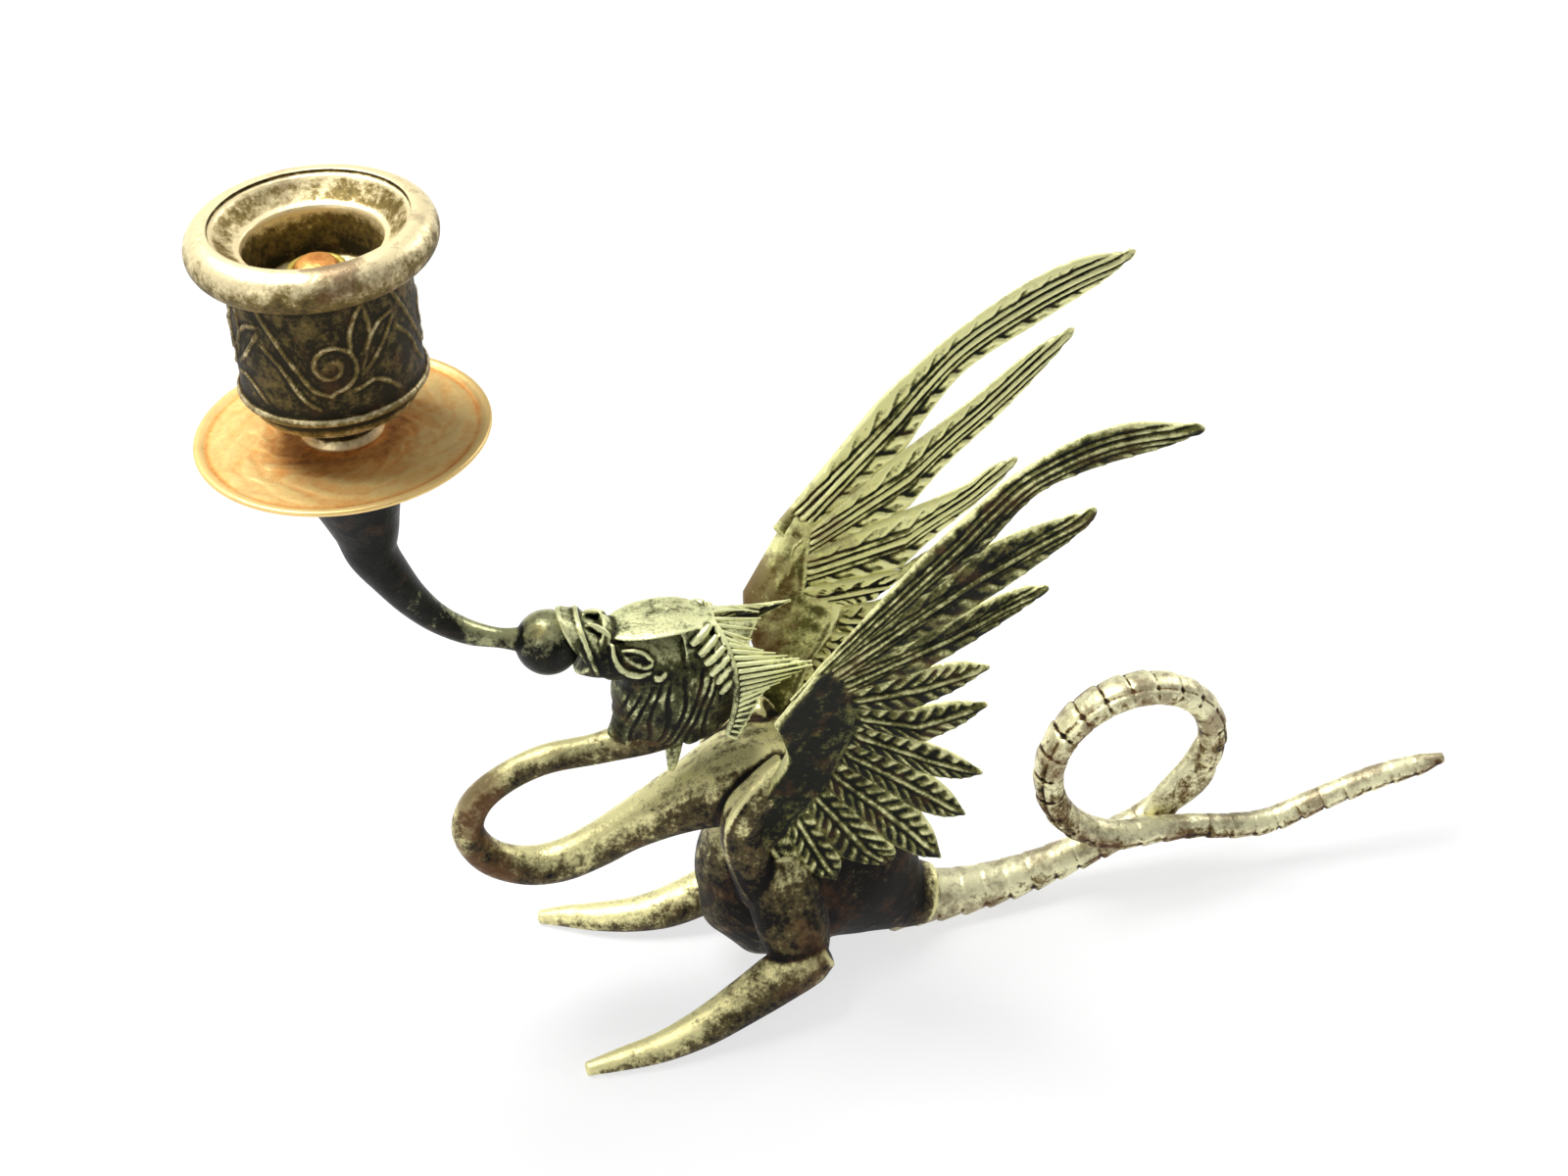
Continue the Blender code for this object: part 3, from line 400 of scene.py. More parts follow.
def make_body():
    """Neck, breast, shoulders and legs as one skin."""
    egg = [(BREAST_X + x, 0.0, z, w, h) for x, z, w, h in EGG]
    shapes = [limb(NECK), limb(egg, sides=40)]
    for side, thigh, shank in ((-1, LEFT_THIGH, LEFT_SHANK), (1, RIGHT_THIGH, RIGHT_SHANK)):
        shapes += [limb(mirrored(keys, side)) for keys in (SHOULDER, thigh, shank)]
    body = fused("body_skin", shapes, BODY_VOXEL, BODY_ROUNDS)
    on_floor(body)
    return body


body = make_body()
for side in (-1, 1):
    carve(body, smooth_rows(mirrored(SHOULDER_RIDGE, side), 10), -0.7, 0.7)
print("body faces:", len(body.data.polygons))

# %% [markdown]
# ## Head
# The jaws grip a ball, so the lips are two bands around it. Above the almond eye lies a flat brow
# plate, and behind the cheek a frill of fine rays stands out on both sides. The beard hangs in
# waved locks down to the neck. Each feature is a strand or pad of clay set on the skull.

# %% Skull, face and beard
# The skull from the ball's centre: x, top, underside, half width
HEAD = [(6.6, 4.0, -7.4, 5.3), (8.6, 2.3, -8.2, 5.7), (10.8, 0.5, -8.4, 5.9), (13.4, 0.7, -10.0, 6.2),
        (15.8, 0.9, -14.0, 6.6), (18.2, 0.9, -20.6, 6.9), (20.8, 0.8, -26.5, 7.0),
        (24.8, -0.3, -25.5, 6.6), (28.2, -2.4, -22.6, 5.8), (30.6, -5.5, -18.6, 4.2)]
BROW = [(9.2, 0.0, 0.3, 1.6, 0.5), (11.0, 0.0, 0.6, 3.4, 0.5), (14.0, 0.0, 0.85, 4.9, 0.5),
        (18.0, 0.0, 0.95, 5.5, 0.55), (22.0, 0.0, 0.8, 5.2, 0.55), (25.0, 0.0, 0.3, 4.2, 0.5),
        (28.4, 0.0, -1.0, 2.6, 0.5)]
THROAT = [(18.0, 0, -11.0, 5.4, 5.4), (15.6, 0, -14.8, 5.0, 4.6), (13.2, 0, -18.6, 4.4, 3.8),
          (11.2, 0, -21.6, 3.3, 2.8), (9.0, 0, -24.0, 2.0, 1.7)]
# Rings of the muzzle behind the mouth: x, lean, half width, middle, half height
SNOUT = [(4.7, 1.7, 5.0, 0.0, 5.4), (6.3, 1.3, 5.5, -1.2, 5.6), (8.2, 0.8, 5.7, -2.8, 5.5),
         (10.5, 0.2, 5.4, -4.4, 4.6)]
MOUTH_TILT, MOUTH_COS, MOUTH_SIN = 0.38, 0.7, 0.714
# Strands of the face on the dragon's left, from the ball's centre: x, y, z, radius
FACE = {
    "eye_upper": [(11.8, -4.6, -1.2, 0.25), (13.4, -5.2, -0.9, 0.4), (15.4, -5.6, -1.8, 0.45),
                  (16.6, -5.9, -3.6, 0.3)],
    "eye_lower": [(11.8, -4.9, -1.6, 0.25), (13.2, -5.7, -3.2, 0.4), (15.2, -6.2, -4.3, 0.4),
                  (16.6, -6.2, -3.9, 0.3)],
    "under_eye": [(10.4, -4.4, 0.6, 0.3), (10.3, -5.6, -1.6, 0.5), (11.4, -6.2, -4.0, 0.6),
                  (13.8, -6.5, -5.4, 0.6), (16.0, -6.4, -5.4, 0.35)],
    "cheek_curl": [(16.4, -6.2, -6.0, 0.4), (17.2, -6.7, -6.8, 0.6), (18.6, -6.6, -6.2, 0.35)],
    "nostril": [(6.8, -1.6, 3.7, 0.4), (8.4, -2.2, 2.9, 0.6), (9.8, -3.0, 1.5, 0.65),
                (9.6, -4.2, 0.2, 0.4)],
}
EYE, EYE_RADII = (14.3, -5.0, -2.6), (1.6, 0.9, 1.1)
# Grooves beside the mouth and across the eye: path, depth, width
GROOVES = [([(7.0, -5.8, 3.0), (7.8, -6.3, -1.5), (8.4, -6.0, -6.0)], 0.5, 0.45),
           ([(12.8, -6.0, -2.2), (14.3, -6.2, -2.6), (15.8, -6.4, -3.4)], 0.5, 0.3)]
LOBES = [[(27.3, -3.2, 0.0, 0.5), (25.4, -4.4, -1.0, 0.85), (23.5, -4.9, -2.2, 0.6)],
         [(28.1, -4.4, -1.5, 0.5), (26.4, -5.4, -2.8, 0.85), (24.6, -5.9, -4.0, 0.6)],
         [(28.9, -5.9, -3.0, 0.5), (27.2, -6.4, -4.4, 0.8), (25.3, -6.5, -5.6, 0.55)],
         [(29.3, -7.0, -4.6, 0.5), (27.8, -7.0, -6.0, 0.75), (26.1, -6.8, -7.8, 0.5)],
         [(29.4, -7.5, -6.6, 0.5), (28.2, -7.3, -8.0, 0.7), (27.1, -7.0, -9.8, 0.45)],
         [(29.4, -7.6, -9.4, 0.45), (28.4, -7.3, -10.8, 0.6), (27.5, -7.0, -12.2, 0.4)]]
LOCK_WIDTH, LOCK_HEIGHT = 2.0, 0.55
SPIKE = [(19.4, 0.0, -24.0, 2.2), (19.2, 0.0, -28.0, 1.6), (18.9, 0.0, -31.0, 1.0),
         (18.2, 0.0, -33.6, 0.2)]
FRILL_RIB = [(27.7, 0.8, -0.8), (29.0, 4.0, -2.6), (30.0, 7.0, -6.2), (30.2, 7.8, -10.5),
             (29.6, 7.2, -16.5), (28.2, 6.0, -22.4)]
FRILL_TIPS = [(35.9, 0.9, -2.4), (32.9, 4.6, -5.0), (43.5, 8.8, -7.6), (34.5, 9.0, -11.5),
              (32.2, 8.2, -17.0), (29.6, 6.6, -23.5)]
FRILL_RAYS = 20
HEAD_VOXEL, HEAD_ROUNDS = 0.25, 4
SOCKET_RADIUS = BALL_RADIUS + 0.15


def at_ball(keys):
    """Stations given from the ball's centre, in the dragon's frame."""
    return [(BALL[0] + x, y, BALL[2] + z, *rest) for x, y, z, *rest in keys]


def frill_lines(side):
    """Roots and tips of the frill's rays, from the rib outward."""
    inner = resampled(smooth_rows(FRILL_RIB, 8), FRILL_RAYS)
    outer = resampled(np.array(FRILL_TIPS, dtype=float), FRILL_RAYS)
    turn = np.array([1.0, side, 1.0])
    return (BALL + inner * turn), (BALL + outer * turn)


def frill_web(side):
    """The thin skin between the rays, and the curved rib in front of them."""
    inner, outer = frill_lines(side)
    middle = 0.5 * (inner + outer) + np.array([0.0, 0.3 * side, 0.2])
    rings = []
    for row in zip(inner, middle, outer):
        rings += [p + np.array([0.0, 0.2 * side, 0.0]) for p in row]
        rings += [p - np.array([0.0, 0.3 * side, 0.0]) for p in row[::-1]]
    rib = cord_of_clay([(*p, 0.7) for p in inner[::2]])
    return [(np.array(rings), grid_faces(len(inner), 6)), rib]


def comb(obj):
    """Wavy locks of the beard, combed into the skull's sides from the jaw to its lower edge."""
    places, normals = coordinates(obj.data), vertex_normals(obj.data)
    x, _, z = (places - BALL).T
    down = -8.0 - z
    line = x + 0.3 * down - 0.8 * np.sin(0.42 * down + 0.55 * x)
    lock = 0.75 - (1 - np.abs(np.sin(math.pi * line / LOCK_WIDTH))) ** 2
    area = (step_up(down + 0.25 * (x - 11.0) - 4.0, -3.0, 1.0) * step_up(x, 9.5, 12.0)
            * step_up(-x, -28.0, -25.5))
    patchy = 0.7 + 0.3 * np.sin(0.8 * x + 0.6 * z)
    set_coordinates(obj.data, places + normals * (LOCK_HEIGHT * lock * area * patchy)[:, None])


def mouth_ring(reach):
    """The edge of the mouth: a circle on the ball, tilted so that its top lies further forward."""
    cos, sin = math.cos(MOUTH_TILT), math.sin(MOUTH_TILT)
    axis, up = np.array([cos, 0.0, sin]), np.array([-sin, 0.0, cos])
    turn = np.radians(np.linspace(0, 360, 49))[:, None]
    circle = np.cos(turn) * up + np.sin(turn) * np.array([0.0, 1.0, 0.0])
    return reach * (MOUTH_COS * axis + MOUTH_SIN * circle)


def snout_ring(x, lean, across, middle, height):
    """A ring of the muzzle behind the mouth."""
    turn = np.radians(np.linspace(0, 360, 49))
    square = np.sign(np.sin(turn)) * np.abs(np.sin(turn)) ** 0.7
    return np.stack([x - lean * np.cos(turn), across * square, middle + height * np.cos(turn)], axis=1)


def muzzle():
    """The muzzle from the edge of the mouth back into the skull."""
    rings = [mouth_ring(4.8), mouth_ring(5.9), *[snout_ring(*row) for row in SNOUT]]
    rings = np.array([ring[:-1] for ring in rings]) + BALL
    return rings.reshape(-1, 3), grid_faces(*rings.shape[:2])


def lips():
    """The lip on the ball and the fold behind it."""
    rings = ((mouth_ring(5.95), 0.45), (snout_ring(6.6, 1.3, 5.6, -1.4, 5.6), 0.5))
    return [cord_of_clay([(*(BALL + place), size) for place in ring[::2]], 2) for ring, size in rings]


def make_head():
    """Skull, lips, brow, eyes, beard and frill as one skin, with a socket for the ball."""
    skull = [(x, 0.0, 0.5 * (top + low), w, 0.5 * (top - low)) for x, top, low, w in HEAD]
    shapes = [limb(at_ball(skull), sides=40), limb(at_ball(BROW), sides=48), limb(at_ball(THROAT)),
              muzzle(), *lips(), cord_of_clay(at_ball(SPIKE))]
    for side in (1, -1):
        shapes += [cord_of_clay(at_ball(mirrored(keys, side))) for keys in (*FACE.values(), *LOBES)]
        shapes.append(ball_of_clay(at_ball(mirrored([EYE], side))[0], EYE_RADII))
        shapes += frill_web(-side)
    head = fused("head_skin", shapes, HEAD_VOXEL, HEAD_ROUNDS)
    places = coordinates(head.data)
    away = places - BALL
    distance = np.linalg.norm(away, axis=1)
    inside = distance < SOCKET_RADIUS
    places[inside] = BALL + away[inside] / distance[inside][:, None] * SOCKET_RADIUS
    set_coordinates(head.data, places)
    comb(head)
    for side in (1, -1):
        for keys, depth, width in GROOVES:
            carve(head, smooth_rows(at_ball(mirrored(keys, side)), 8), depth, width)
    return head


head = make_head()
print("head faces:", len(head.data.polygons))

# %% [markdown]
# The rays of the frill are thin, crisp and evenly spread, so a Geometry Nodes tree makes them. It
# takes one short line for each ray, gives it a root and a tip radius and sweeps a circle along it.

# %% Rays of the frill
RAY_ROOT, RAY_TIP, RAY_SIDES = 0.5, 0.16, 12
RAY_NODES = {
    "source": "NodeGroupInput", "lines": "GeometryNodeMeshToCurve",
    "place": "GeometryNodeSplineParameter", "taper": "ShaderNodeMapRange",
    "circle": "GeometryNodeCurvePrimitiveCircle", "sweep": "GeometryNodeCurveToMesh",
    "smooth": "GeometryNodeSetShadeSmooth", "whole": "GeometryNodeRealizeInstances",
    "finish": "GeometryNodeSetMaterial", "target": "NodeGroupOutput",
}
RAY_LINKS = [
    "source.Geometry > lines.Mesh", "lines.Curve > sweep.Curve",
    "place.Factor > taper.Value", "source.Root Radius > taper.To Min",
    "source.Tip Radius > taper.To Max", "taper.Result > sweep.Scale",
    "source.Sides > circle.Resolution", "circle.Curve > sweep.Profile Curve",
    "sweep.Mesh > smooth.Geometry", "smooth.Geometry > whole.Geometry",
    "whole.Geometry > finish.Geometry", "source.Material > finish.Material",
    "finish.Geometry > target.Geometry",
]


def ray_tree():
    """Sweeps a circle along each edge line, thick at its root and thin at its tip."""
    tree = bpy.data.node_groups.new("frill_rays", "GeometryNodeTree")
    face = tree.interface
    face.new_socket("Geometry", in_out="INPUT", socket_type="NodeSocketGeometry")
    for name, kind, value in (("Root Radius", "NodeSocketFloat", RAY_ROOT * MM),
                              ("Tip Radius", "NodeSocketFloat", RAY_TIP * MM),
                              ("Sides", "NodeSocketInt", RAY_SIDES)):
        face.new_socket(name, in_out="INPUT", socket_type=kind).default_value = value
    face.new_socket("Material", in_out="INPUT", socket_type="NodeSocketMaterial")
    face.new_socket("Geometry", in_out="OUTPUT", socket_type="NodeSocketGeometry")
    nodes = {name: tree.nodes.new(kind) for name, kind in RAY_NODES.items()}
    nodes["circle"].inputs["Radius"].default_value = 1.0
    nodes["sweep"].inputs["Fill Caps"].default_value = True
    for route in RAY_LINKS:
        (start, output), (end, socket) = (place.split(".") for place in route.split(" > "))
        tree.links.new(nodes[start].outputs[output], nodes[end].inputs[socket])
    return tree


def make_rays():
    """One line for each ray on both sides, then the swept mesh."""
    places, edges = [], []
    steps = np.linspace(0.0, 1.0, 9)[:, None]
    for side in (-1, 1):
        swell = np.array([0.0, 0.35 * side, 0.2]) * np.sin(math.pi * steps)
        for start, end in zip(*frill_lines(side)):
            line = start + steps * (end - start) * 1.05 + swell
            edges += [(len(places) + i, len(places) + i + 1) for i in range(len(line) - 1)]
            places += (line * MM).tolist()
    mesh = bpy.data.meshes.new("frill_rays")
    mesh.from_pydata(places, edges, [])
    rays = put("frill_rays", mesh)
    rays.modifiers.new("rays", "NODES").node_group = ray_tree()
    evaluated = rays.evaluated_get(bpy.context.evaluated_depsgraph_get())
    swept = bpy.data.meshes.new_from_object(evaluated)
    rays.modifiers.clear()
    rays.data = swept
    return rays


rays = make_rays()
print("ray faces:", len(rays.data.polygons))

# %% [markdown]
# ## Tail
# The tail is a row of overlapping plates on the back, with square scutes along the belly. It leaves
# the body on the floor, makes one loop for a finger and ends in a free tip. One long grid of rings
# follows the path, and the plates are steps in its radius.

# %% Tail
TAIL_LOOP_X, TAIL_LOOP_Z, TAIL_LOOP_RADIUS = 48.2, 29.6, 16.2
TAIL_PLATE, TAIL_ROW, TAIL_SIDES = 4.6, 0.33, 40    # length of a plate, of a row of points; sides
# The web that ties the loop to the tail, from the loop's centre: x, y, z, half width, half height
TAIL_WEB = [(4.0, 1.0, -16.4, 1.5, 1.9), (8.0, 1.5, -13.0, 1.7, 3.8), (12.9, 2.0, -8.4, 1.7, 4.2),
            (15.2, 2.7, -1.2, 1.3, 1.9)]


def tail_keys():
    """The tail's path: root on the floor, one loop for a finger, and the free tip."""
    root_x = BREAST_X + 35.0
    run = TAIL_LOOP_X + 0.79 * TAIL_LOOP_RADIUS - root_x
    keys = []
    for share, y, z, size in ((0.0, 0.0, 5.5, 5.8), (0.25, 0.0, 4.3, 4.5), (0.45, 0.3, 5.4, 3.8),
                              (0.65, 1.2, 8.0, 3.3), (0.85, 2.2, 12.0, 3.1)):
        keys.append((root_x + share * run, y, z, size, size))
    first, last, turns = -38.0, 282.0, 14
    for k in range(turns + 1):
        share = k / turns
        angle = math.radians(first + share * (last - first))
        swell = math.sin(math.pi * share)
        keys.append((TAIL_LOOP_X + TAIL_LOOP_RADIUS * math.cos(angle), 3.0 - 6.2 * share,
                     TAIL_LOOP_Z + TAIL_LOOP_RADIUS * math.sin(angle),
                     2.7 + 1.2 * swell, 2.6 + 0.1 * swell))
    for along, z, size in ((0.75, -17.6, 2.3), (1.15, -19.3, 2.4), (1.6, -19.9, 2.4), (2.2, -17.0, 2.3),
                           (2.9, -14.0, 2.3), (3.45, -12.8, 1.9), (3.72, -12.2, 0.9)):
        keys.append((TAIL_LOOP_X + along * TAIL_LOOP_RADIUS, -2.6, TAIL_LOOP_Z + z, size, size))
    return keys


def bump(distance, width):
    """A soft ridge profile."""
    return np.exp(-(distance / width) ** 2)


def make_tail():
    """Rings along the path, with plates on the back and scutes on the belly."""
    curve = smooth_rows(tail_keys(), 8)
    length = np.linalg.norm(np.diff(curve[:, :3], axis=0), axis=1).sum()
    rows = resampled(curve, int(length / TAIL_ROW))
    along = np.linspace(0.0, length, len(rows))
    phase = (along / TAIL_PLATE) % 1.0
    angle = full_turn(TAIL_SIDES)
    belly = 1.0 / (1.0 + np.exp((np.sin(angle) + 0.15) * 12))
    step = 0.3 * (0.5 - phase) - 0.3 * bump(phase, 0.06) - 0.3 * bump(phase - 1.0, 0.04)
    seams = sum(bump(np.sin(angle) - place, 0.08) for place in (-0.2, -0.72))
    step = step * (1 + 0.5 * step_up(-along, -46.0, -24.0))
    relief = step[:, None] * (0.45 + 0.9 * belly) - 0.4 * (belly * seams)[None, :]
    relief = relief * np.clip(rows[:, 4:5] / 3.0, 0.2, 1.0)
    web = limb([(TAIL_LOOP_X + x, y, TAIL_LOOP_Z + z, *size) for x, y, z, *size in TAIL_WEB], 12, 32)
    plates = skin(rows, angle, relief), grid_faces(len(rows), TAIL_SIDES)
    tail = new_object("tail_plates", *joined([plates, web]))
    on_floor(tail)
    return tail


tail = make_tail()
print("tail faces:", len(tail.data.polygons))

# %% [markdown]
# ## Wings
# Each wing is a dished fan. A smooth plate lies over the shoulder, and eleven feathers spread from
# under it: three long ones at the leading edge and eight that shorten to leaves. Each feather is a
# thin lens with a midrib and slanting barbs, carved on both faces, laid against its neighbours.

# %% Feathers
WING_ROOT = [(-20.1, 69.1), (-19.0, 65.5), (-18.2, 62.0), (-17.6, 59.0), (-17.5, 56.5), (-18.2, 54.3),
             (-19.5, 52.0), (-21.0, 49.5), (-22.8, 46.5), (-24.5, 43.0), (-26.0, 39.0), (-27.0, 34.5)]
WING_BASE = [(-12.5, 79.3), (-9.4, 79.0), (-7.2, 76.0), (-6.2, 71.5), (-5.6, 67.2), (-5.5, 62.8),
             (-6.7, 58.8), (-8.4, 54.1), (-11.1, 48.3), (-14.5, 43.2), (-18.5, 38.5), (-24.5, 32.5)]
WING_NOTCH = [(8.0, 103.8), (16.1, 101.3), (13.4, 87.3), (6.6, 74.8), (4.0, 65.2), (5.9, 56.9),
              (7.3, 48.3), (5.0, 40.2), (-0.2, 33.0), (-9.5, 31.5), (-15.5, 29.5), (-21.5, 28.0)]
WING_TIP = [(50.9, 121.3), (34.2, 106.6), (26.9, 90.0), (17.3, 73.2), (17.0, 64.3), (16.1, 47.9),
            (12.9, 38.4), (8.3, 28.8), (-0.8, 28.2), (-10.5, 26.5), (-16.5, 25.0)]
LEFT_LONG = [([(15.3, 111.3), (21.5, 117.0), (32.6, 123.1), (41.0, 123.9)],
              [(24.5, 111.8), (32.9, 115.6), (45.7, 118.7)]),
             ([(24.7, 104.8)], [(19.2, 91.5), (24.9, 96.1), (32.8, 103.4)]),
             ([(22.1, 90.9)], [(13.4, 79.3), (22.2, 86.0)])]
RIGHT_ROOT = [(-18.4, 70.8)]
RIGHT_BASE = [(-8.0, 87.3), (-5.2, 82.5), (-6.3, 77.5), (-7.5, 71.2), (-1.2, 65.6),
              (-3.6, 60.8), (-6.6, 57.2)]
RIGHT_NOTCH = [(10.5, 106.7), (13.0, 94.8), (12.3, 82.4), (10.0, 70.5)]
RIGHT_TIP = [(55.4, 122.6), (43.9, 110.4), (32.7, 87.3)]
RIGHT_LONG = [([(22.1, 114.9), (35.0, 121.4), (45.8, 123.8)],
               [(16.8, 99.8), (24.2, 107.0), (37.2, 112.9), (50.2, 118.6)]),
              ([(23.9, 100.9), (37.1, 108.8)], [(19.5, 89.3), (30.2, 97.3), (40.2, 106.0)]),
              ([(23.1, 84.8), (27.8, 87.2)], [(16.1, 75.0), (28.3, 82.7)])]
WING_CENTRE = (-20.0, 42.0)
WING_ROOT_Y, WING_FLARE = 10.5, 0.135
LEADING_RAISE = 4.0
LEADING_SHARE = (1.0, 0.3, 0.15, 0.0)
FEATHER_BULGE = 0.05
FEATHER_HALF = 0.78
ACROSS = 26                    # columns over one feather
ROW_LENGTH = 0.3               # length of one row along a feather
TIP_HALF = 1.2                 # half width of the blunt end of a long feather
HIDDEN_SHARE = 0.22            # part of a feather's root that lies under the plate
SHORT_TIP = 0.55               # tip of a short feather as a share of TIP_HALF
PLATE_REACH = 1.06             # how far the plate reaches over the feathers' bases


def sheet_y(x, z, boundary):
    """Distance of the wing's sheet from the middle plane: dished, with a raised leading edge."""
    away = np.hypot(x - WING_CENTRE[0], z - WING_CENTRE[1])
    share = np.interp(boundary, range(len(LEADING_SHARE)), LEADING_SHARE)
    return WING_ROOT_Y + WING_FLARE * away + LEADING_RAISE * share * np.exp(-(away / 50.0) ** 2)


def as_rows(points):
    """Points of the x, z plane as rows of three numbers."""
    return [(x, 0.0, z) for x, z in points]


def leaf_edge(notch, tip, other_notch):
    """One swelling point halfway along the free edge of a short feather."""
    a, b, c = (np.array(p, dtype=float) for p in (notch, tip, other_notch))
    return [tuple(0.45 * a + 0.55 * b + (a - c) * FEATHER_BULGE * 2)]


def feather_edges(f, base, notch, tips, long_edges, free_rows, shared_rows):
    """Leading and trailing edge of one feather from its base to its tip, in the x, z plane."""
    if f < len(long_edges):
        leading, trailing = long_edges[f]
    else:
        leading = leaf_edge(notch[f], tips[f], notch[f + 1])
        trailing = leaf_edge(notch[f + 1], tips[f], notch[f])
    edges = []
    for boundary, middle in ((f, leading), (f + 1, trailing)):
        start, end = np.array(base[boundary]), np.array(notch[boundary])
        start = start - HIDDEN_SHARE * (end - start)
        shared = resampled(np.array(as_rows([start, end]), dtype=float), shared_rows)
        free = resampled(smooth_rows(as_rows([notch[boundary], *middle, tips[f]]), 8), free_rows)
        edges.append(np.vstack([shared[:-1], free])[:, [0, 2]])
    lead, trail = edges
    lap = (0.04 * np.clip((shared_rows - np.arange(len(lead))) / 12, 0, 1))[:, None] * (lead - trail)
    return lead + lap, trail - lap


def carving(along, across, width, long_feather):
    """Height of midrib and barbs over the face of a feather, in millimetres.

    The midrib has a groove on each side, and a long feather a second rib beyond it. The barbs are
    a saw-tooth wave that slants away from the rib, weaker on a long feather's leading half.
    """
    side_mm = np.abs(across - 0.5) * width
    rib = 0.5 * bump(side_mm, 0.45) - 0.22 * bump(side_mm - 0.9, 0.3)
    pitch, slant, start = (4.9, 1.15, 1.9) if long_feather else (2.8, 1.0, 0.5)
    if long_feather:
        rib = rib + 0.34 * bump(side_mm - 1.35, 0.26) - 0.28 * bump(side_mm - 1.9, 0.24)
    phase = ((along - slant * side_mm) / pitch) % 1.0
    past = phase * pitch
    saw = np.maximum(phase, 1 - past / 0.6) - 0.5
    wave = 0.48 * saw + 0.2 * bump(np.minimum(past, pitch - past), 0.4)
    weight = np.clip((side_mm - start) / 0.6, 0.0, 1.0)
    if long_feather:
        weight = weight * np.where(across < 0.5, 0.4, 1.0)
    return rib + wave * weight


def thick_sheet(side, flat, y, half):
    """A closed shape from a sheet over the x, z plane, with half its thickness on each face."""
    faces = [np.stack([flat[..., 0], side * (y + face * half), flat[..., 1]], axis=-1)
             for face in (1, -1)]
    ring = np.concatenate([faces[0], faces[1][:, ::-1]], axis=1)
    return ring.reshape(-1, 3), grid_faces(*ring.shape[:2])


def feather(side, f, edges, hidden, long_feather):
    """One feather as a closed lens, carved on both faces."""
    lead, trail = edges
    middle = 0.5 * (lead + trail)
    width = np.linalg.norm(lead - trail, axis=1)
    along = np.concatenate([[0.0], np.cumsum(np.linalg.norm(np.diff(middle, axis=0), axis=1))])
    across = np.linspace(0.0, 1.0, ACROSS + 1)
    to_tip = along[-1] - along
    last = int(np.where(width >= 1.0)[0].max())
    line = (trail - lead) / np.maximum(width, 1e-6)[:, None]
    line[last:] = line[last]
    tip_half = TIP_HALF * (1.0 if long_feather else SHORT_TIP)
    width = np.maximum(width, 2 * tip_half * np.sqrt(np.clip(to_tip / 1.3, 0, 1)))
    flat = middle[:, None] + (across - 0.5)[None, :, None] * (line * width[:, None])[:, None]
    y = sheet_y(flat[..., 0], flat[..., 1], f + across[None, :])
    fade = np.clip(to_tip / 5.0, 0.0, 1.0)[:, None] ** 0.5
    lens = np.sqrt(np.clip(1 - (2 * across - 1) ** 4, 0, 1))[None, :]
    relief = carving(along[:, None], across[None, :], width[:, None], long_feather)
    showing = np.clip((along - hidden) / 1.5, 0, 1)
    relief = relief * lens * (np.clip(to_tip / 3.0, 0, 1) * showing)[:, None]
    half = (FEATHER_HALF * 0.8 * lens * fade) * (0.6 + 0.4 * showing[:, None]) + 0.06
    over = 0.5 * (across[None, :] - 0.5)
    return thick_sheet(side, flat, y + over, half + relief)


def shoulder_plate(side, root, base):
    """The smooth plate that the feathers come out of."""
    steps, per_boundary = 40, 8
    boundaries = np.linspace(0, len(root) - 1, (len(root) - 1) * per_boundary + 1)
    index = np.arange(len(root))
    edge = []
    for points in (root, base):
        points = np.array(points, dtype=float)
        edge.append(np.stack([np.interp(boundaries, index, points[:, c]) for c in (0, 1)], axis=1))
    t = np.linspace(0.0, PLATE_REACH, steps + 1)[:, None, None]
    flat = edge[0][None] * (1 - t) + edge[1][None] * t
    y = sheet_y(flat[..., 0], flat[..., 1], boundaries[None, :])
    rim = np.clip((PLATE_REACH - t[..., 0]) / 0.3, 0, 1) ** 0.6
    inward = np.minimum(boundaries, boundaries[-1] - boundaries)
    sides_fade = np.clip(inward / 0.22, 0, 1)[None, :] ** 0.5
    ledge = 0.25 * bump(t[..., 0] - 0.94, 0.06)
    half = (FEATHER_HALF + 0.1 + ledge) * np.maximum(rim * sides_fade, 0.08)
    return thick_sheet(side, flat, y, half)


def make_wing(name, side, root, base, notch, tips, long_edges):
    """The plate and its feathers as one casting."""
    shapes = [shoulder_plate(side, root, base)]
    for f, tip in enumerate(tips):
        reach = np.linalg.norm(np.array(tip) - np.array(notch[f + 1]))
        depth = np.linalg.norm(np.array(notch[f + 1]) - np.array(base[f + 1]))
        hidden = 0.8 * HIDDEN_SHARE * depth
        rows = [max(10, int(v / ROW_LENGTH)) for v in (reach * 1.05, depth * (1 + HIDDEN_SHARE))]
        edges = feather_edges(f, base, notch, tips, long_edges, *rows)
        shapes.append(feather(side, f, edges, hidden, f < len(long_edges)))
    wing = new_object(name, *joined(shapes))
    set_coordinates(wing.data, Neighbours(wing.data).relaxed(coordinates(wing.data), 1))
    return wing


left_wing = make_wing("left_wing_feathers", -1, WING_ROOT, WING_BASE, WING_NOTCH, WING_TIP, LEFT_LONG)
right_wing = make_wing("right_wing_feathers", 1, RIGHT_ROOT + WING_ROOT[1:], RIGHT_BASE + WING_BASE[7:],
                       RIGHT_NOTCH + WING_NOTCH[4:], RIGHT_TIP + WING_TIP[3:], RIGHT_LONG)
print("wing faces:", len(left_wing.data.polygons), len(right_wing.data.polygons))

# %% [markdown]
# ## Cup, pan, nut, stud and arm
# The cup, pan, nut and stud were turned on a lathe, so a half section spun about the candle's axis
# gives each one exactly. The arm is a fused limb. The cup's side carries a band of scrolls, cut
# after turning: the scroll lines are raised on the same grid where the section runs past them. The
# axis leans a little, as on the real one.

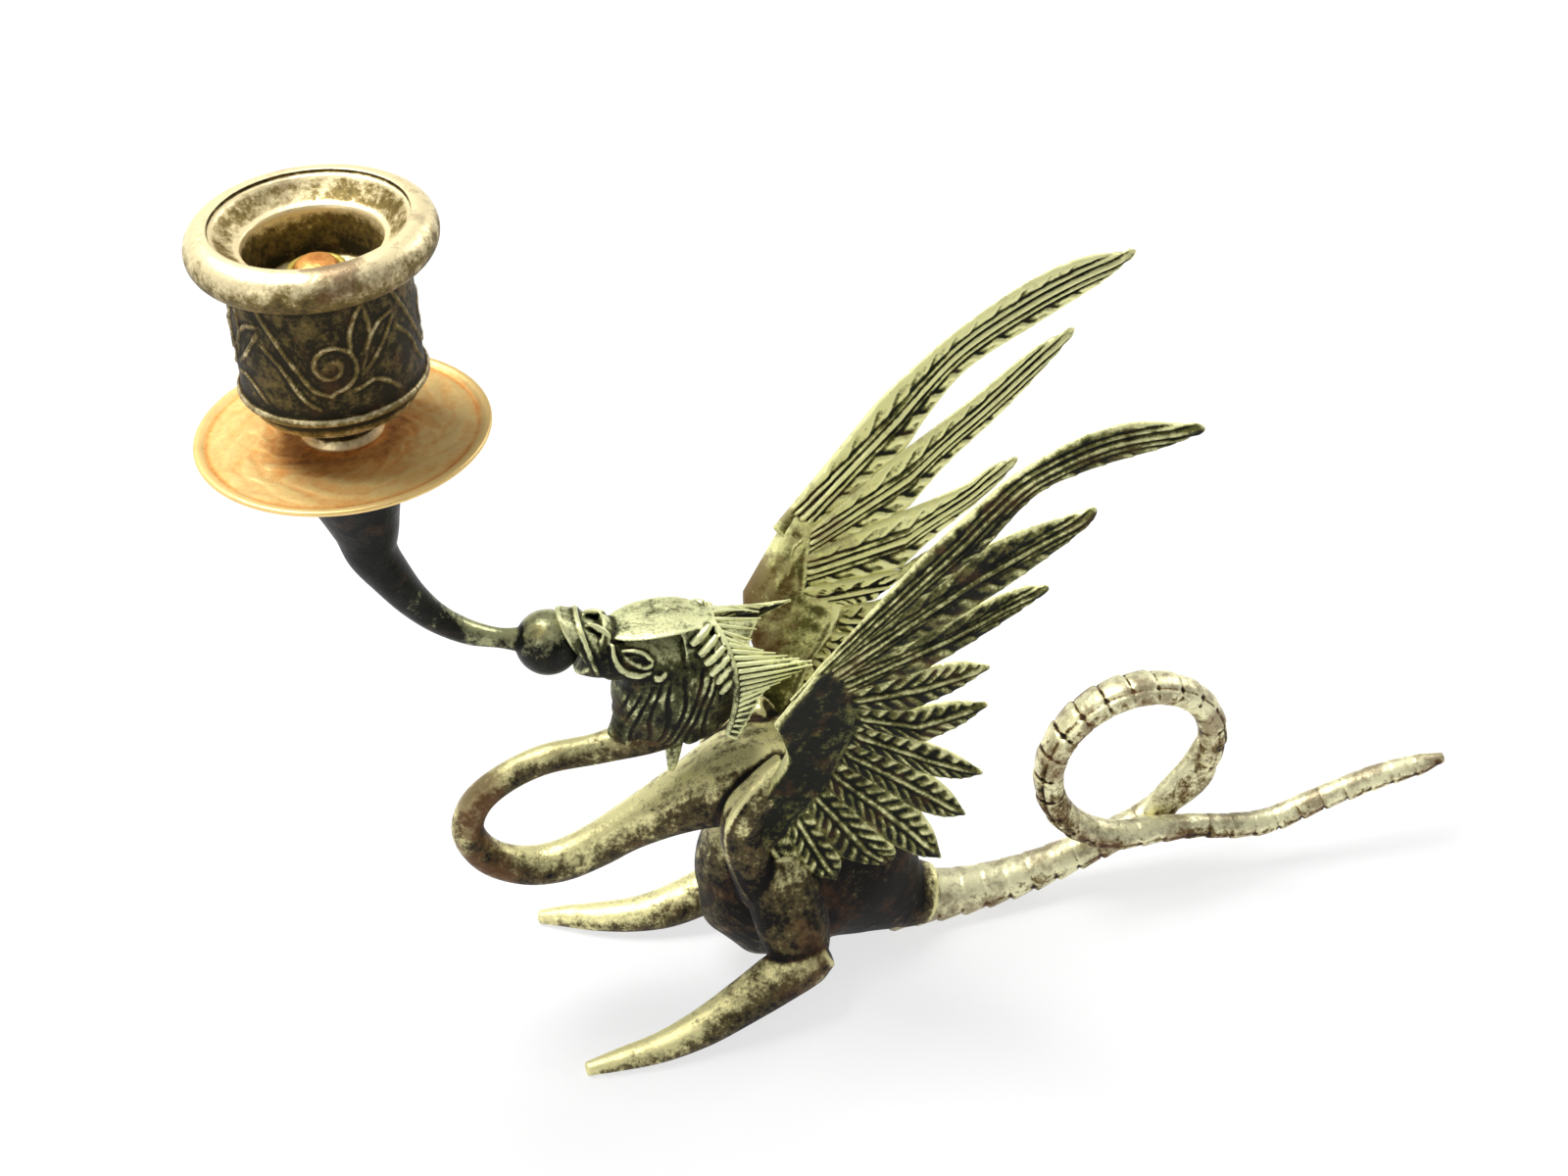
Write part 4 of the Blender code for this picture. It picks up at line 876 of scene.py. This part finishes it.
# %% Turned pieces
CANDLE_X, PAN_TOP_Z = -81.7, 130.9
CANDLE_LEAN, CANDLE_TILT = math.radians(2.5), math.radians(1.1)
PAN_RADIUS, PAN_THICKNESS, PAN_LIP = 23.35, 1.0, 0.7
BORE_RADIUS, BORE_DEPTH, CUP_HEIGHT, CUP_WALL = 10.9, 8.8, 38.0, 3.3
DISH_DEPTH, DISH_WIDTH, ROLL_RADIUS = 4.0, 4.4, 3.4
NECK_RADIUS, NECK_HEIGHT, BEAD_Z, BEAD_RADIUS = 6.4, 6.2, 10.6, 0.75
STUD_RADIUS, STUD_PROUD, NUT_RADIUS, NUT_HEIGHT, NUT_RECESS, SEAM = 3.2, 1.2, 4.7, 4.4, 0.3, 0.3
BELL_RADIUS, BELL_HEIGHT, STEM_RADIUS = 10.5, 22.0, 1.75
CUP_RADIUS = BORE_RADIUS + CUP_WALL
INSET = 0.02                                        # the visible skin stays this far inside the solid
CUP_STEPS, PAN_STEPS, FIXING_STEPS = 300, 240, 80    # steps around the axis
ARM_VOXEL, ARM_ROUNDS = 0.3, 6
CANDLE_AXIS = (Matrix.Translation((CANDLE_X, 0.0, PAN_TOP_Z)) @ Matrix.Rotation(CANDLE_TILT, 4, "Y")
               @ Matrix.Rotation(-CANDLE_LEAN, 4, "X"))


def on_candle(points):
    """Points given about the candle's axis, in the dragon's frame."""
    matrix = np.array(CANDLE_AXIS)
    return np.asarray(points) @ matrix[:3, :3].T + matrix[:3, 3]


def arc(centre_r, centre_z, radius, start, end, count):
    """Points on a circular arc of a section, angles in degrees."""
    angles = np.radians(np.linspace(start, end, count))
    return [(centre_r + radius * math.cos(a), centre_z + radius * math.sin(a)) for a in angles]


def turned(name, section, steps, relief=None):
    """A half section (radius, height) spun about the axis; relief lifts it by angle and height."""
    section = np.array(section, dtype=float)
    angle = full_turn(steps)
    radius = np.repeat(section[None, :, 0], steps, 0)
    height = np.repeat(section[None, :, 1], steps, 0)
    if relief is not None:
        lift_r, lift_z = relief(angle[:, None], radius, height)
        radius, height = radius + lift_r, height + lift_z
    verts = np.stack([radius * np.cos(angle)[:, None], radius * np.sin(angle)[:, None], height], axis=-1)
    count = len(section)
    closed = section[0, 0] > 0.01
    faces = []
    for s in range(steps):
        a, b = s * count, ((s + 1) % steps) * count
        for i in range(count if closed else count - 1):
            j = (i + 1) % count
            faces.append([a + i, b + i, b + j, a + j])
    return new_object(name, *joined([(on_candle(verts.reshape(-1, 3)), faces)]))


def cup_section():
    """Half section of the cup, from the mouth's roll down the outside and up the bore."""
    bore_top = CUP_HEIGHT - DISH_DEPTH
    floor = bore_top - BORE_DEPTH
    roll_r = BORE_RADIUS + DISH_WIDTH + 0.15 * ROLL_RADIUS
    roll_z = CUP_HEIGHT - ROLL_RADIUS - 0.1
    hole, under_roll = STUD_RADIUS + SEAM, roll_z - ROLL_RADIUS
    recess = NUT_RADIUS + SEAM
    section = arc(roll_r, roll_z, ROLL_RADIUS, 100, -78, 40)
    section += [(CUP_RADIUS + 0.35, under_roll - 0.25), (CUP_RADIUS + 0.35, under_roll - 0.5),
                (CUP_RADIUS + 0.05, under_roll - 0.7)]
    top, low = under_roll - 0.9, BEAD_Z + 1.7 * BEAD_RADIUS
    section += [(CUP_RADIUS + 0.12 * (z - low) / (top - low), z) for z in np.linspace(top, low, 76)]
    section += arc(CUP_RADIUS - 0.1 * BEAD_RADIUS, BEAD_Z, BEAD_RADIUS, 80, -80, 14)
    section += arc(CUP_RADIUS - 4.2, BEAD_Z - 1.3, 3.4, -2, -62, 12)
    section += arc(NECK_RADIUS + 1.6, NECK_HEIGHT + 0.2, 1.9, 100, 180, 8)
    section += arc(NECK_RADIUS + 2.6, 0.5 * NECK_HEIGHT, 3.4, 168, 205, 8)
    section += [(NECK_RADIUS + 0.2, SEAM + 0.5), (NECK_RADIUS + 0.2, SEAM + 0.05), (hole, SEAM + 0.05)]
    section += [(hole, floor - NUT_RECESS), (recess, floor - NUT_RECESS), (recess, floor)]
    section += [(BORE_RADIUS - 0.4, floor), (BORE_RADIUS, floor + 0.4)]
    section += [(BORE_RADIUS, z) for z in np.linspace(floor + 1, bore_top, 10)]
    section += [(BORE_RADIUS + DISH_WIDTH * (0.06 + 0.88 * t),
                 bore_top + 0.1 + (DISH_DEPTH - 0.75) * t ** 1.35) for t in np.linspace(0, 1, 12)]
    section += [(BORE_RADIUS + 0.965 * DISH_WIDTH, CUP_HEIGHT - 0.75),
                (BORE_RADIUS + DISH_WIDTH, CUP_HEIGHT - 0.3)]
    return section, low, top


def spiral(centre, radius, turns, start):
    """A spiral line that winds inwards."""
    t = np.linspace(0.0, 1.0, 40)
    angle = start + turns * 2 * math.pi * t
    r = radius * (1 - 0.82 * t)
    return np.stack([centre[0] + r * np.cos(angle), centre[1] + r * np.sin(angle)], axis=1)


# Scrolls of one repeat, on the unrolled band: width, then points as millimetres around the cup
# and share of the band's height; the first one ends in a coil
SCROLLS = [(0.30, (-11, 0.95), (-8.6, 0.72), (-5.4, 0.42), (-3.2, 0.24), (-0.4, 0.17)),
           (0.26, (-11, 0.62), (-8.0, 0.44), (-5.2, 0.16), (-2.8, 0.05)),
           (0.28, (3.4, 0.42), (3.0, 0.66), (4.2, 0.86), (5.6, 0.96)),
           (0.28, (4.4, 0.36), (6.0, 0.60), (8.0, 0.74), (10.6, 0.78)),
           (0.28, (3.2, 0.2), (6.0, 0.24), (8.2, 0.18), (10.4, 0.06)),
           (0.22, (5.8, 0.94), (6.4, 0.7), (5.2, 0.55), (4.0, 0.48)),
           (0.22, (10.8, 0.72), (8.6, 0.56), (6.4, 0.42), (4.2, 0.32))]
COIL_X, COIL_SHARE, COIL_RADIUS, COIL_TURNS = -0.2, 0.45, 4.4, 1.5
SCROLL_REPEATS, SCROLL_HEIGHT = 4, 0.32


def scroll_lines(low, top):
    """One repeat of the scrolls as smooth lines with their widths."""
    lines = []
    for width, *points in SCROLLS:
        rows = smooth_rows([(x, 0.0, low + t * (top - low)) for x, t in points], 10)
        lines.append((rows[:, [0, 2]], width))
    first, width = lines[0]
    centre = (COIL_X, low + COIL_SHARE * (top - low))
    coil = spiral(centre, COIL_RADIUS, COIL_TURNS, -0.5 * math.pi)
    return [(np.vstack([first[:-1], coil]), width), *lines[1:]]


def cup_relief(low, top):
    """The scroll band as a lift of the cup's side."""
    pitch = 2 * math.pi * CUP_RADIUS / SCROLL_REPEATS
    lines = scroll_lines(low, top)

    def lift(angle, radius, height):
        band = (height > low + 0.2) & (height < top - 0.2) & (radius > CUP_RADIUS - 0.3)
        unrolled = (angle + 0 * height) * CUP_RADIUS
        out = np.zeros_like(height)
        rows, columns = np.where(band)
        place = np.stack([(unrolled[rows, columns] + 0.5 * pitch) % pitch - 0.5 * pitch,
                          height[rows, columns]], axis=1)
        total = np.zeros(len(place))
        for line, width in lines:
            gap, along = distance_to(place, line)
            taper = 0.45 + 0.55 * np.sin(np.pi * np.clip(along, 0.02, 0.98)) ** 0.5
            total = np.maximum(total, SCROLL_HEIGHT * taper * bump(gap, width * 0.95))
        out[rows, columns] = total - 0.1
        return out, np.zeros_like(out)

    return lift


def make_cup():
    """The cup with its scroll band."""
    section, low, top = cup_section()
    return turned("cup_turned", section, CUP_STEPS, cup_relief(low, top))


def pan_relief(angle, radius, height):
    """Faint leaves chased into the pan's face."""
    inner, outer = 7.5, PAN_RADIUS - 2.2
    waves = np.sin(9 * angle + 2.2 * np.sin(radius * 0.55))
    leaves = waves * np.sin(radius * 0.9 + 1.3 * np.sin(5 * angle))
    sprigs = np.sin(23 * angle + radius * 0.8) * np.sin(radius * 1.7 + 3 * angle)
    face = (height > -0.1) & (radius > inner) & (radius < outer)
    fade = np.clip((radius - inner) / 3, 0, 1) * np.clip((outer - radius) / 1.5, 0, 1)
    lift = np.where(face, (0.06 * np.tanh(4.0 * leaves) + 0.015 * sprigs) * fade, 0.0)
    return np.zeros_like(lift), lift


def make_pan():
    """The drip pan: a thin disc with a rounded edge."""
    edge, hole, under = PAN_RADIUS - 0.45, STUD_RADIUS + SEAM, -PAN_THICKNESS + INSET
    section = [(r, -INSET) for r in np.linspace(hole, PAN_RADIUS - 2.0, 70)]
    section += [(PAN_RADIUS - 1.5, 0.25), (PAN_RADIUS - 1.0, 0.62)] + arc(edge, 0.1, 0.45, 90, -90, 10)
    section += [(PAN_RADIUS - 1.4, -0.72), (PAN_RADIUS - 2.4, under), (hole, under)]
    return turned("pan_chased", section, PAN_STEPS, pan_relief)


def make_fixings():
    """The round nut on the floor of the bore and the domed end of the stud."""
    floor = CUP_HEIGHT - DISH_DEPTH - BORE_DEPTH - NUT_RECESS + SEAM
    top, hole = floor + NUT_HEIGHT, STUD_RADIUS + SEAM
    nut = [(hole, top - 0.3), (hole + 0.25, top)] + arc(NUT_RADIUS - 0.7, top - 0.7, 0.7, 90, 0, 8)
    nut += [(NUT_RADIUS, floor + INSET), (hole, floor + INSET)]
    end = floor + NUT_HEIGHT + STUD_PROUD + NUT_RECESS
    bottom = -PAN_THICKNESS - SEAM - 7.9
    dome = [(STUD_RADIUS * math.sin(a), end - STUD_PROUD * (1 - math.cos(a)) - INSET)
            for a in np.radians(np.linspace(2, 88, 14))]
    stud = [(0.0, end - INSET)] + dome + [(STUD_RADIUS, bottom), (0.0, bottom)]
    return turned("nut_turned", nut, FIXING_STEPS), turned("stud_turned", stud, FIXING_STEPS)


# Stations of the stem: share of the way and of the rise from ball to trumpet, radius
STEM = [(0.06, 0.03, STEM_RADIUS + 1.0), (0.28, 0.10, STEM_RADIUS), (0.48, 0.195, 1.2 * STEM_RADIUS),
        (0.67, 0.36, 1.4 * STEM_RADIUS), (0.81, 0.56, 0.28 * BELL_RADIUS),
        (0.92, 0.79, 0.34 * BELL_RADIUS)]
# Stations of the trumpet: share of its height below the pan, shift in x, share of its radius
TRUMPET = [(1.0, 1.4, 0.41), (0.78, 1.1, 0.52), (0.55, 0.6, 0.66), (0.3, 0.0, 0.84), (0.06, 0.0, 0.97),
           (0.0, 0.0, 1.0)]


def make_arm():
    """Ball, stem and trumpet fused into one casting."""
    def under_pan(depth, shift):
        return on_candle([(shift, 0.0, -PAN_THICKNESS - SEAM - INSET - depth * BELL_HEIGHT)])[0]

    foot = under_pan(*TRUMPET[0][:2])
    rise, reach = foot[2] - BALL[2], foot[0] - BALL[0]
    keys = [(BALL[0] + along * reach, foot[1] * up, BALL[2] + up * rise, radius, radius)
            for along, up, radius in STEM]
    keys += [(*under_pan(depth, shift), *[share * BELL_RADIUS] * 2) for depth, shift, share in TRUMPET]
    shapes = [limb(keys, sides=40), ball_of_clay(BALL, (BALL_RADIUS,) * 3, 64)]
    return fused("arm_casting", shapes, ARM_VOXEL, ARM_ROUNDS)


cup, pan, arm = make_cup(), make_pan(), make_arm()
nut, stud = make_fixings()
print("turned faces:", {o.name: len(o.data.polygons) for o in (cup, pan, arm, nut, stud)})

# %% [markdown]
# ## Metal
# One shader group gives every metal its age. It mixes three colours from the hollows up to the
# polished edges, moves the limits with cloudy noise, and lets brown stains through in patches.
# The stored surface readings steer it, so wear lies where hands and cloths reach. How far a place faces
# up adds painted top light, paler tops and darker undersides, and some zones add painted shade or a
# painted highlight.

# %% Shared patina group


def srgb(*seen):
    """A colour as seen, 0 to 255, for the renderer."""
    linear = (((c / 255 + 0.055) / 1.055) ** 2.4 if c > 10 else c / 255 / 12.92 for c in seen)
    return (*linear, 1.0)


def math_node(tree, operation, a, b, clamp=False):
    """The output of a math node; a and b are numbers or sockets."""
    node = tree.nodes.new("ShaderNodeMath")
    node.operation, node.use_clamp = operation, clamp
    for socket, value in zip(node.inputs, (a, b)):
        if isinstance(value, (int, float)):
            socket.default_value = value
        else:
            tree.links.new(value, socket)
    return node.outputs[0]


def patina_group():
    """Colour, roughness and height of aged metal, with painted top light and some painted shade in the
    colour.
    """
    tree = bpy.data.node_groups.new("aged_metal", "ShaderNodeTree")
    face = tree.interface
    for name, value in (("Hollow", srgb(25, 26, 14)), ("Middle", srgb(100, 98, 52)),
                        ("Raised", srgb(225, 222, 165)), ("Stain", srgb(104, 68, 38))):
        face.new_socket(name, in_out="INPUT", socket_type="NodeSocketColor").default_value = value
    for name, value in (("Edge Wear", 0.5), ("Form Wear", 0.3), ("Sky Wear", 0.25), ("Cloudiness", 0.35),
                        ("Bias", 0.4), ("Stain Amount", 0.35), ("Grain", 1.0), ("Roughness Low", 0.36),
                        ("Roughness High", 0.62)):
        face.new_socket(name, in_out="INPUT", socket_type="NodeSocketFloat").default_value = value
    for name, kind in (("Color", "Color"), ("Roughness", "Float"), ("Height", "Float")):
        face.new_socket(name, in_out="OUTPUT", socket_type="NodeSocket" + kind)
    nodes, links = tree.nodes, tree.links
    given, result = nodes.new("NodeGroupInput").outputs, nodes.new("NodeGroupOutput").inputs
    place = nodes.new("ShaderNodeTexCoord").outputs["Object"]
    add, less, times = (partial(math_node, tree, kind) for kind in ("ADD", "SUBTRACT", "MULTIPLY"))

    def cloud(scale, detail, roughness=0.6):
        node = nodes.new("ShaderNodeTexNoise")
        for name, value in (("Scale", scale), ("Detail", detail), ("Roughness", roughness)):
            node.inputs[name].default_value = value
        links.new(place, node.inputs["Vector"])
        return node.outputs["Fac"]

    def reading(name):
        node = nodes.new("ShaderNodeAttribute")
        node.attribute_name = name
        return node.outputs["Fac"]

    def blend(factor, a, b):
        node = nodes.new("ShaderNodeMix")
        node.data_type = "RGBA"
        for socket, value in ((node.inputs["Factor"], factor), (node.inputs[6], a), (node.inputs[7], b)):
            links.new(value, socket)
        return node.outputs[2]

    # How worn a place is, with painted top light added: 0 in untouched hollows, 1 where it is polished
    # or painted brightest
    level = given["Bias"]
    for name in ("edge", "form", "sky"):
        level = add(level, times(reading(name), given[name.title() + " Wear"]))
    # The zone reading: paler or darker tone by place, on some pieces painted shade or a painted
    # highlight
    level = add(level, reading("zone"))
    broad, medium, fine = cloud(90, 3), cloud(420, 4, 0.65), cloud(1500, 3, 0.7)
    noise = add(add(times(broad, 0.8), times(medium, 1.1)), times(fine, 0.7))
    level = add(level, times(times(less(noise, 1.3), given["Cloudiness"]), 2.0))
    low, high = times(level, 2.0, True), less(times(level, 2.0), 1.0, True)
    colour = blend(high, blend(low, given["Hollow"], given["Middle"]), given["Raised"])
    # Brown stains in patches, more of them where rust is given
    rust = reading("rust")
    patch = add(add(cloud(150, 5, 0.7), times(medium, 0.25)), times(rust, 0.17))
    patch = times(less(patch, 0.66), 7.0, True)
    amount = add(given["Stain Amount"], times(rust, 0.35), True)
    links.new(blend(times(patch, amount), colour, given["Stain"]), result["Color"])
    # Worn metal is smoother, and fine grain varies it
    span = less(given["Roughness Low"], given["Roughness High"])
    rough = add(given["Roughness High"], times(span, times(level, 1.0, True)))
    links.new(add(rough, times(less(fine, 0.5), 0.12)), result["Roughness"])
    grain = add(times(medium, 0.65), times(fine, 0.35))
    links.new(times(grain, given["Grain"]), result["Height"])
    return tree


def metal(name, hollow, middle, raised, metallic=0.45, bump_mm=0.3, **values):
    """A metal that places the shared group with its own values."""
    material = bpy.data.materials.new(name)
    material.use_nodes = True
    nodes, links = material.node_tree.nodes, material.node_tree.links
    shader = nodes["Principled BSDF"].inputs
    shader["Metallic"].default_value = metallic
    shader["Specular IOR Level"].default_value = 0.3
    age = nodes.new("ShaderNodeGroup")
    age.node_tree = AGED_METAL
    for key, colour in (("Hollow", hollow), ("Middle", middle), ("Raised", raised)):
        age.inputs[key].default_value = srgb(*colour)
    for key, value in values.items():
        age.inputs[key.replace("_", " ")].default_value = value
    relief = nodes.new("ShaderNodeBump")
    relief.inputs["Distance"].default_value = bump_mm * MM
    relief.inputs["Strength"].default_value = 1.0
    for output, socket in ((age.outputs["Height"], relief.inputs["Height"]),
                           (relief.outputs["Normal"], shader["Normal"]),
                           (age.outputs["Color"], shader["Base Color"]),
                           (age.outputs["Roughness"], shader["Roughness"])):
        links.new(output, socket)
    return material


AGED_METAL = patina_group()
# In each metal, the weight on the upward-facing reading sets how much painted top light pales its tops.
METALS = {
    "body": metal("patinated_bronze", (16, 12, 8), (100, 88, 54), (250, 242, 176), Edge_Wear=0.6,
                  Form_Wear=0.4, Sky_Wear=0.8, Bias=-0.1, Cloudiness=0.75, Stain_Amount=0.35),
    "head": metal("head_bronze", (14, 14, 8), (84, 86, 50), (240, 242, 184), Edge_Wear=0.5,
                  Form_Wear=0.35, Sky_Wear=0.8, Bias=0.02, Cloudiness=0.7, Stain_Amount=0.3),
    "wings": metal("wing_bronze", (20, 22, 12), (114, 113, 60), (252, 250, 184), Edge_Wear=0.9,
                   Form_Wear=0.2, Sky_Wear=0.6, Bias=0.14, Cloudiness=0.7, Stain_Amount=0.4),
    "tail": metal("tail_bronze", (22, 16, 10), (128, 108, 64), (252, 247, 200), Edge_Wear=0.7,
                  Form_Wear=0.35, Sky_Wear=0.85, Bias=-0.24, Cloudiness=1.1, Stain_Amount=0.5),
    "arm": metal("dark_bronze", (4, 4, 3), (26, 27, 18), (200, 202, 150), 0.5, 0.15, Bias=-0.06,
                 Sky_Wear=0.62, Edge_Wear=0.4, Cloudiness=0.55, Stain_Amount=0.2,
                 Roughness_Low=0.25, Roughness_High=0.5),
    "pan": metal("copper", (150, 84, 36), (240, 172, 92), (255, 218, 142), 0.4, 0.15, Bias=0.3,
                 Sky_Wear=0.42, Edge_Wear=0.3, Cloudiness=0.4, Stain_Amount=0.12),
    "cup": metal("aged_brass", (40, 34, 16), (124, 106, 56), (252, 234, 184), 0.5, 0.18, Bias=0.04,
                 Sky_Wear=0.62, Edge_Wear=0.34, Cloudiness=0.6, Stain_Amount=0.4),
    "nut": metal("olive_brass", (60, 52, 16), (120, 104, 40), (190, 170, 80), Bias=0.3),
    "stud": metal("copper_stud", (90, 48, 18), (168, 100, 40), (216, 150, 78), Bias=0.3),
}
print("metals:", list(METALS))

# %% [markdown]
# ## Each piece in its place
# Every dressed piece stands for one solid and rides with it. Nothing on this object moves, so there
# is one body. The surface readings are taken here, once the shapes are final.

# %% Dress the solids


def zones_rust_and_painted_light(obj):
    """Paler or darker zones, on some pieces painted shade or a painted highlight, and rusty patches, by
    place on the object.
    """
    places, axis = coordinates(obj.data), np.array(CANDLE_AXIS)
    x, y, z = places.T
    on_axis = (places - axis[:3, 3]) @ axis[:3, :3]
    away, up = np.hypot(on_axis[:, 0], on_axis[:, 1]), on_axis[:, 2]
    zone, rust = np.zeros(len(x)), np.zeros(len(x))
    if obj is body:
        rust += 1.2 * bump(np.minimum(x + 72.0, 0) + np.maximum(x + 70.0, 0), 6.0)
        joint = np.array([16.0, 16.0, 15.0])
        rust += 0.8 * bump(np.linalg.norm(np.abs(places) - joint, axis=1), 7.0)
        zone += (0.2 * step_up(-x, 22, 30) * step_up(x, -66, -52) * step_up(z, 28, 34)
                 * step_up(-z, -52, -48))
        zone -= (0.12 * step_up(x, -22, -6)
                 + 0.14 * step_up(x, -32, -26) * step_up(z, 8, 14) * step_up(-z, -36, -30))
    if obj is cup:
        rim = step_up(up, CUP_HEIGHT - 5.5, CUP_HEIGHT - 3.0)
        # Painted light: inside the bore, below the dish, the wall and floor are painted paler, a painted
        # reflection of light in the shaded bore.
        painted_bore_light = 0.45 * step_up(-away, -11.6, -11.0) * step_up(-up, 3.0 - CUP_HEIGHT, 5.0 - CUP_HEIGHT)
        zone += 0.2 * rim * step_up(away, 8.5, 10.5) + painted_bore_light
        rust += 1.0 * rim * bump(on_axis[:, 0] - 3.0, 7.0) * step_up(-y, 8.0, 14.0)
    if obj is pan:
        # The outer part of the face is paler, and the ring round the cup's foot is painted darker as
        # painted shade.
        zone += 0.2 * step_up(away, 12.0, 19.0) - 0.35 * bump(away - 8.6, 2.6)
    if obj is left_wing or obj is right_wing:
        # Painted light and shade: faces turned outward are painted darker, with their raised edges less
        # pale, and inward faces are painted paler.
        outward = vertex_normals(obj.data)[:, 1] * np.sign(y) > 0
        zone += np.where(outward, -0.22, 0.18)
        rust += 1.5 * (obj is right_wing) * bump(x + 21.0, 11.0) * step_up(z, 52.0, 60.0)
        edge = np.empty(len(x), dtype=np.float32)
        stored = obj.data.attributes["edge"].data
        stored.foreach_get("value", edge)
        stored.foreach_set("value", np.where(outward, 0.38 * edge, edge).astype(np.float32))
    if obj is arm:
        # Painted highlight: a paler band across the stem beside the ball.
        zone += 0.4 * bump(x + 63.5, 4.5)
    if obj is tail:
        rust += 0.45
        # Painted shade: the lower left of the loop is painted darker.
        zone -= 0.3 * bump(np.hypot(x - TAIL_LOOP_X + 11.0, z - TAIL_LOOP_Z + 8.0), 9.0)
    store(obj.data, "zone", zone)
    store(obj.data, "rust", rust)


# How a surface is read: normals' rise taken for the painted top light, millimetres for fine and broad
# relief
CAST_READING, WING_READING = ((0.0, 1.0), 0.05, 0.35), ((-0.25, 0.6), 0.06, 0.5)
DRESSING = [(body, "dragon_body", "body"), (head, "dragon_body", "head"),
            (rays, "dragon_body", "head"), (tail, "dragon_body", "tail"),
            (left_wing, "left_wing", "wings"), (right_wing, "right_wing", "wings"),
            (arm, "candle_arm", "arm"), (pan, "drip_pan", "pan"), (cup, "candle_cup", "cup"),
            (nut, "cup_nut", "nut"), (stud, "cup_stud", "stud")]
for obj, node, metal_name in DRESSING:
    read_surface(obj, *(WING_READING if node.endswith("wing") else CAST_READING))
    zones_rust_and_painted_light(obj)
    obj.data.materials.clear()
    obj.data.materials.append(METALS[metal_name])
    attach(obj, "root")
    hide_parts(node)
    print(obj.name, "stands for", node, len(obj.data.loop_triangles) or len(obj.data.polygons))

# %% [markdown]
# ## Studio
# A wide pale floor, one large soft light above and behind, and two weaker ones in front. The light
# from above gives the pale tops and dark sides that the photograph shows.

# %% Floor and lights
FLOOR_GLOW = 0.72    # share of white light in the floor as the camera sees it
LIGHT_AIM = Vector((0.0, 0.0, 0.07))
# Name, place in metres, width in metres, power in watts
LIGHTS = [("key", (-0.3, 0.2, 0.95), 0.5, 13.0), ("fill", (-0.9, -0.75, 0.45), 0.5, 2.2),
          ("rim", (0.85, 0.45, 0.6), 0.45, 3.6)]


def make_floor():
    """A pale floor under the object."""
    mesh = bpy.data.meshes.new("floor")
    mesh.from_pydata([(-4, -4, 0), (4, -4, 0), (4, 4, 0), (-4, 4, 0)], [], [(0, 1, 2, 3)])
    floor = put("floor", mesh)
    material = bpy.data.materials.new("pale_floor")
    material.use_nodes = True
    tree = material.node_tree
    shader = tree.nodes["Principled BSDF"]
    shader.inputs["Base Color"].default_value = (0.92, 0.92, 0.92, 1.0)
    shader.inputs["Roughness"].default_value = 0.95
    shader.inputs["Specular IOR Level"].default_value = 0.1
    seen, glow, mixed = (tree.nodes.new("ShaderNode" + kind)
                         for kind in ("LightPath", "Emission", "MixShader"))
    share = seen.outputs["Is Camera Ray"]
    for name in ("Is Glossy Ray", "Is Transmission Ray"):
        share = math_node(tree, "MAXIMUM", share, seen.outputs[name], True)
    share = math_node(tree, "MULTIPLY", share, FLOOR_GLOW)
    for socket, value in zip(mixed.inputs, (share, shader.outputs[0], glow.outputs[0])):
        tree.links.new(value, socket)
    tree.links.new(mixed.outputs[0], tree.nodes["Material Output"].inputs["Surface"])
    mesh.materials.append(material)


def make_light(name, place, size, power):
    """A square soft light that points at the object."""
    data = bpy.data.lights.new(name, "AREA")
    data.size, data.energy = size, power
    light = put(name, data)
    light.location = place
    light.rotation_euler = (LIGHT_AIM - Vector(place)).to_track_quat("-Z", "Y").to_euler()
    return light


make_floor()
lights = [make_light(*row) for row in LIGHTS]
world = bpy.data.worlds.new("studio")
bpy.context.scene.world = world
world.use_nodes = True
background = world.node_tree.nodes["Background"].inputs
background["Color"].default_value = (0.62, 0.63, 0.65, 1.0)
background["Strength"].default_value = 0.36
bpy.context.scene.view_settings.view_transform = "Standard"
print("lights:", [light.name for light in lights])
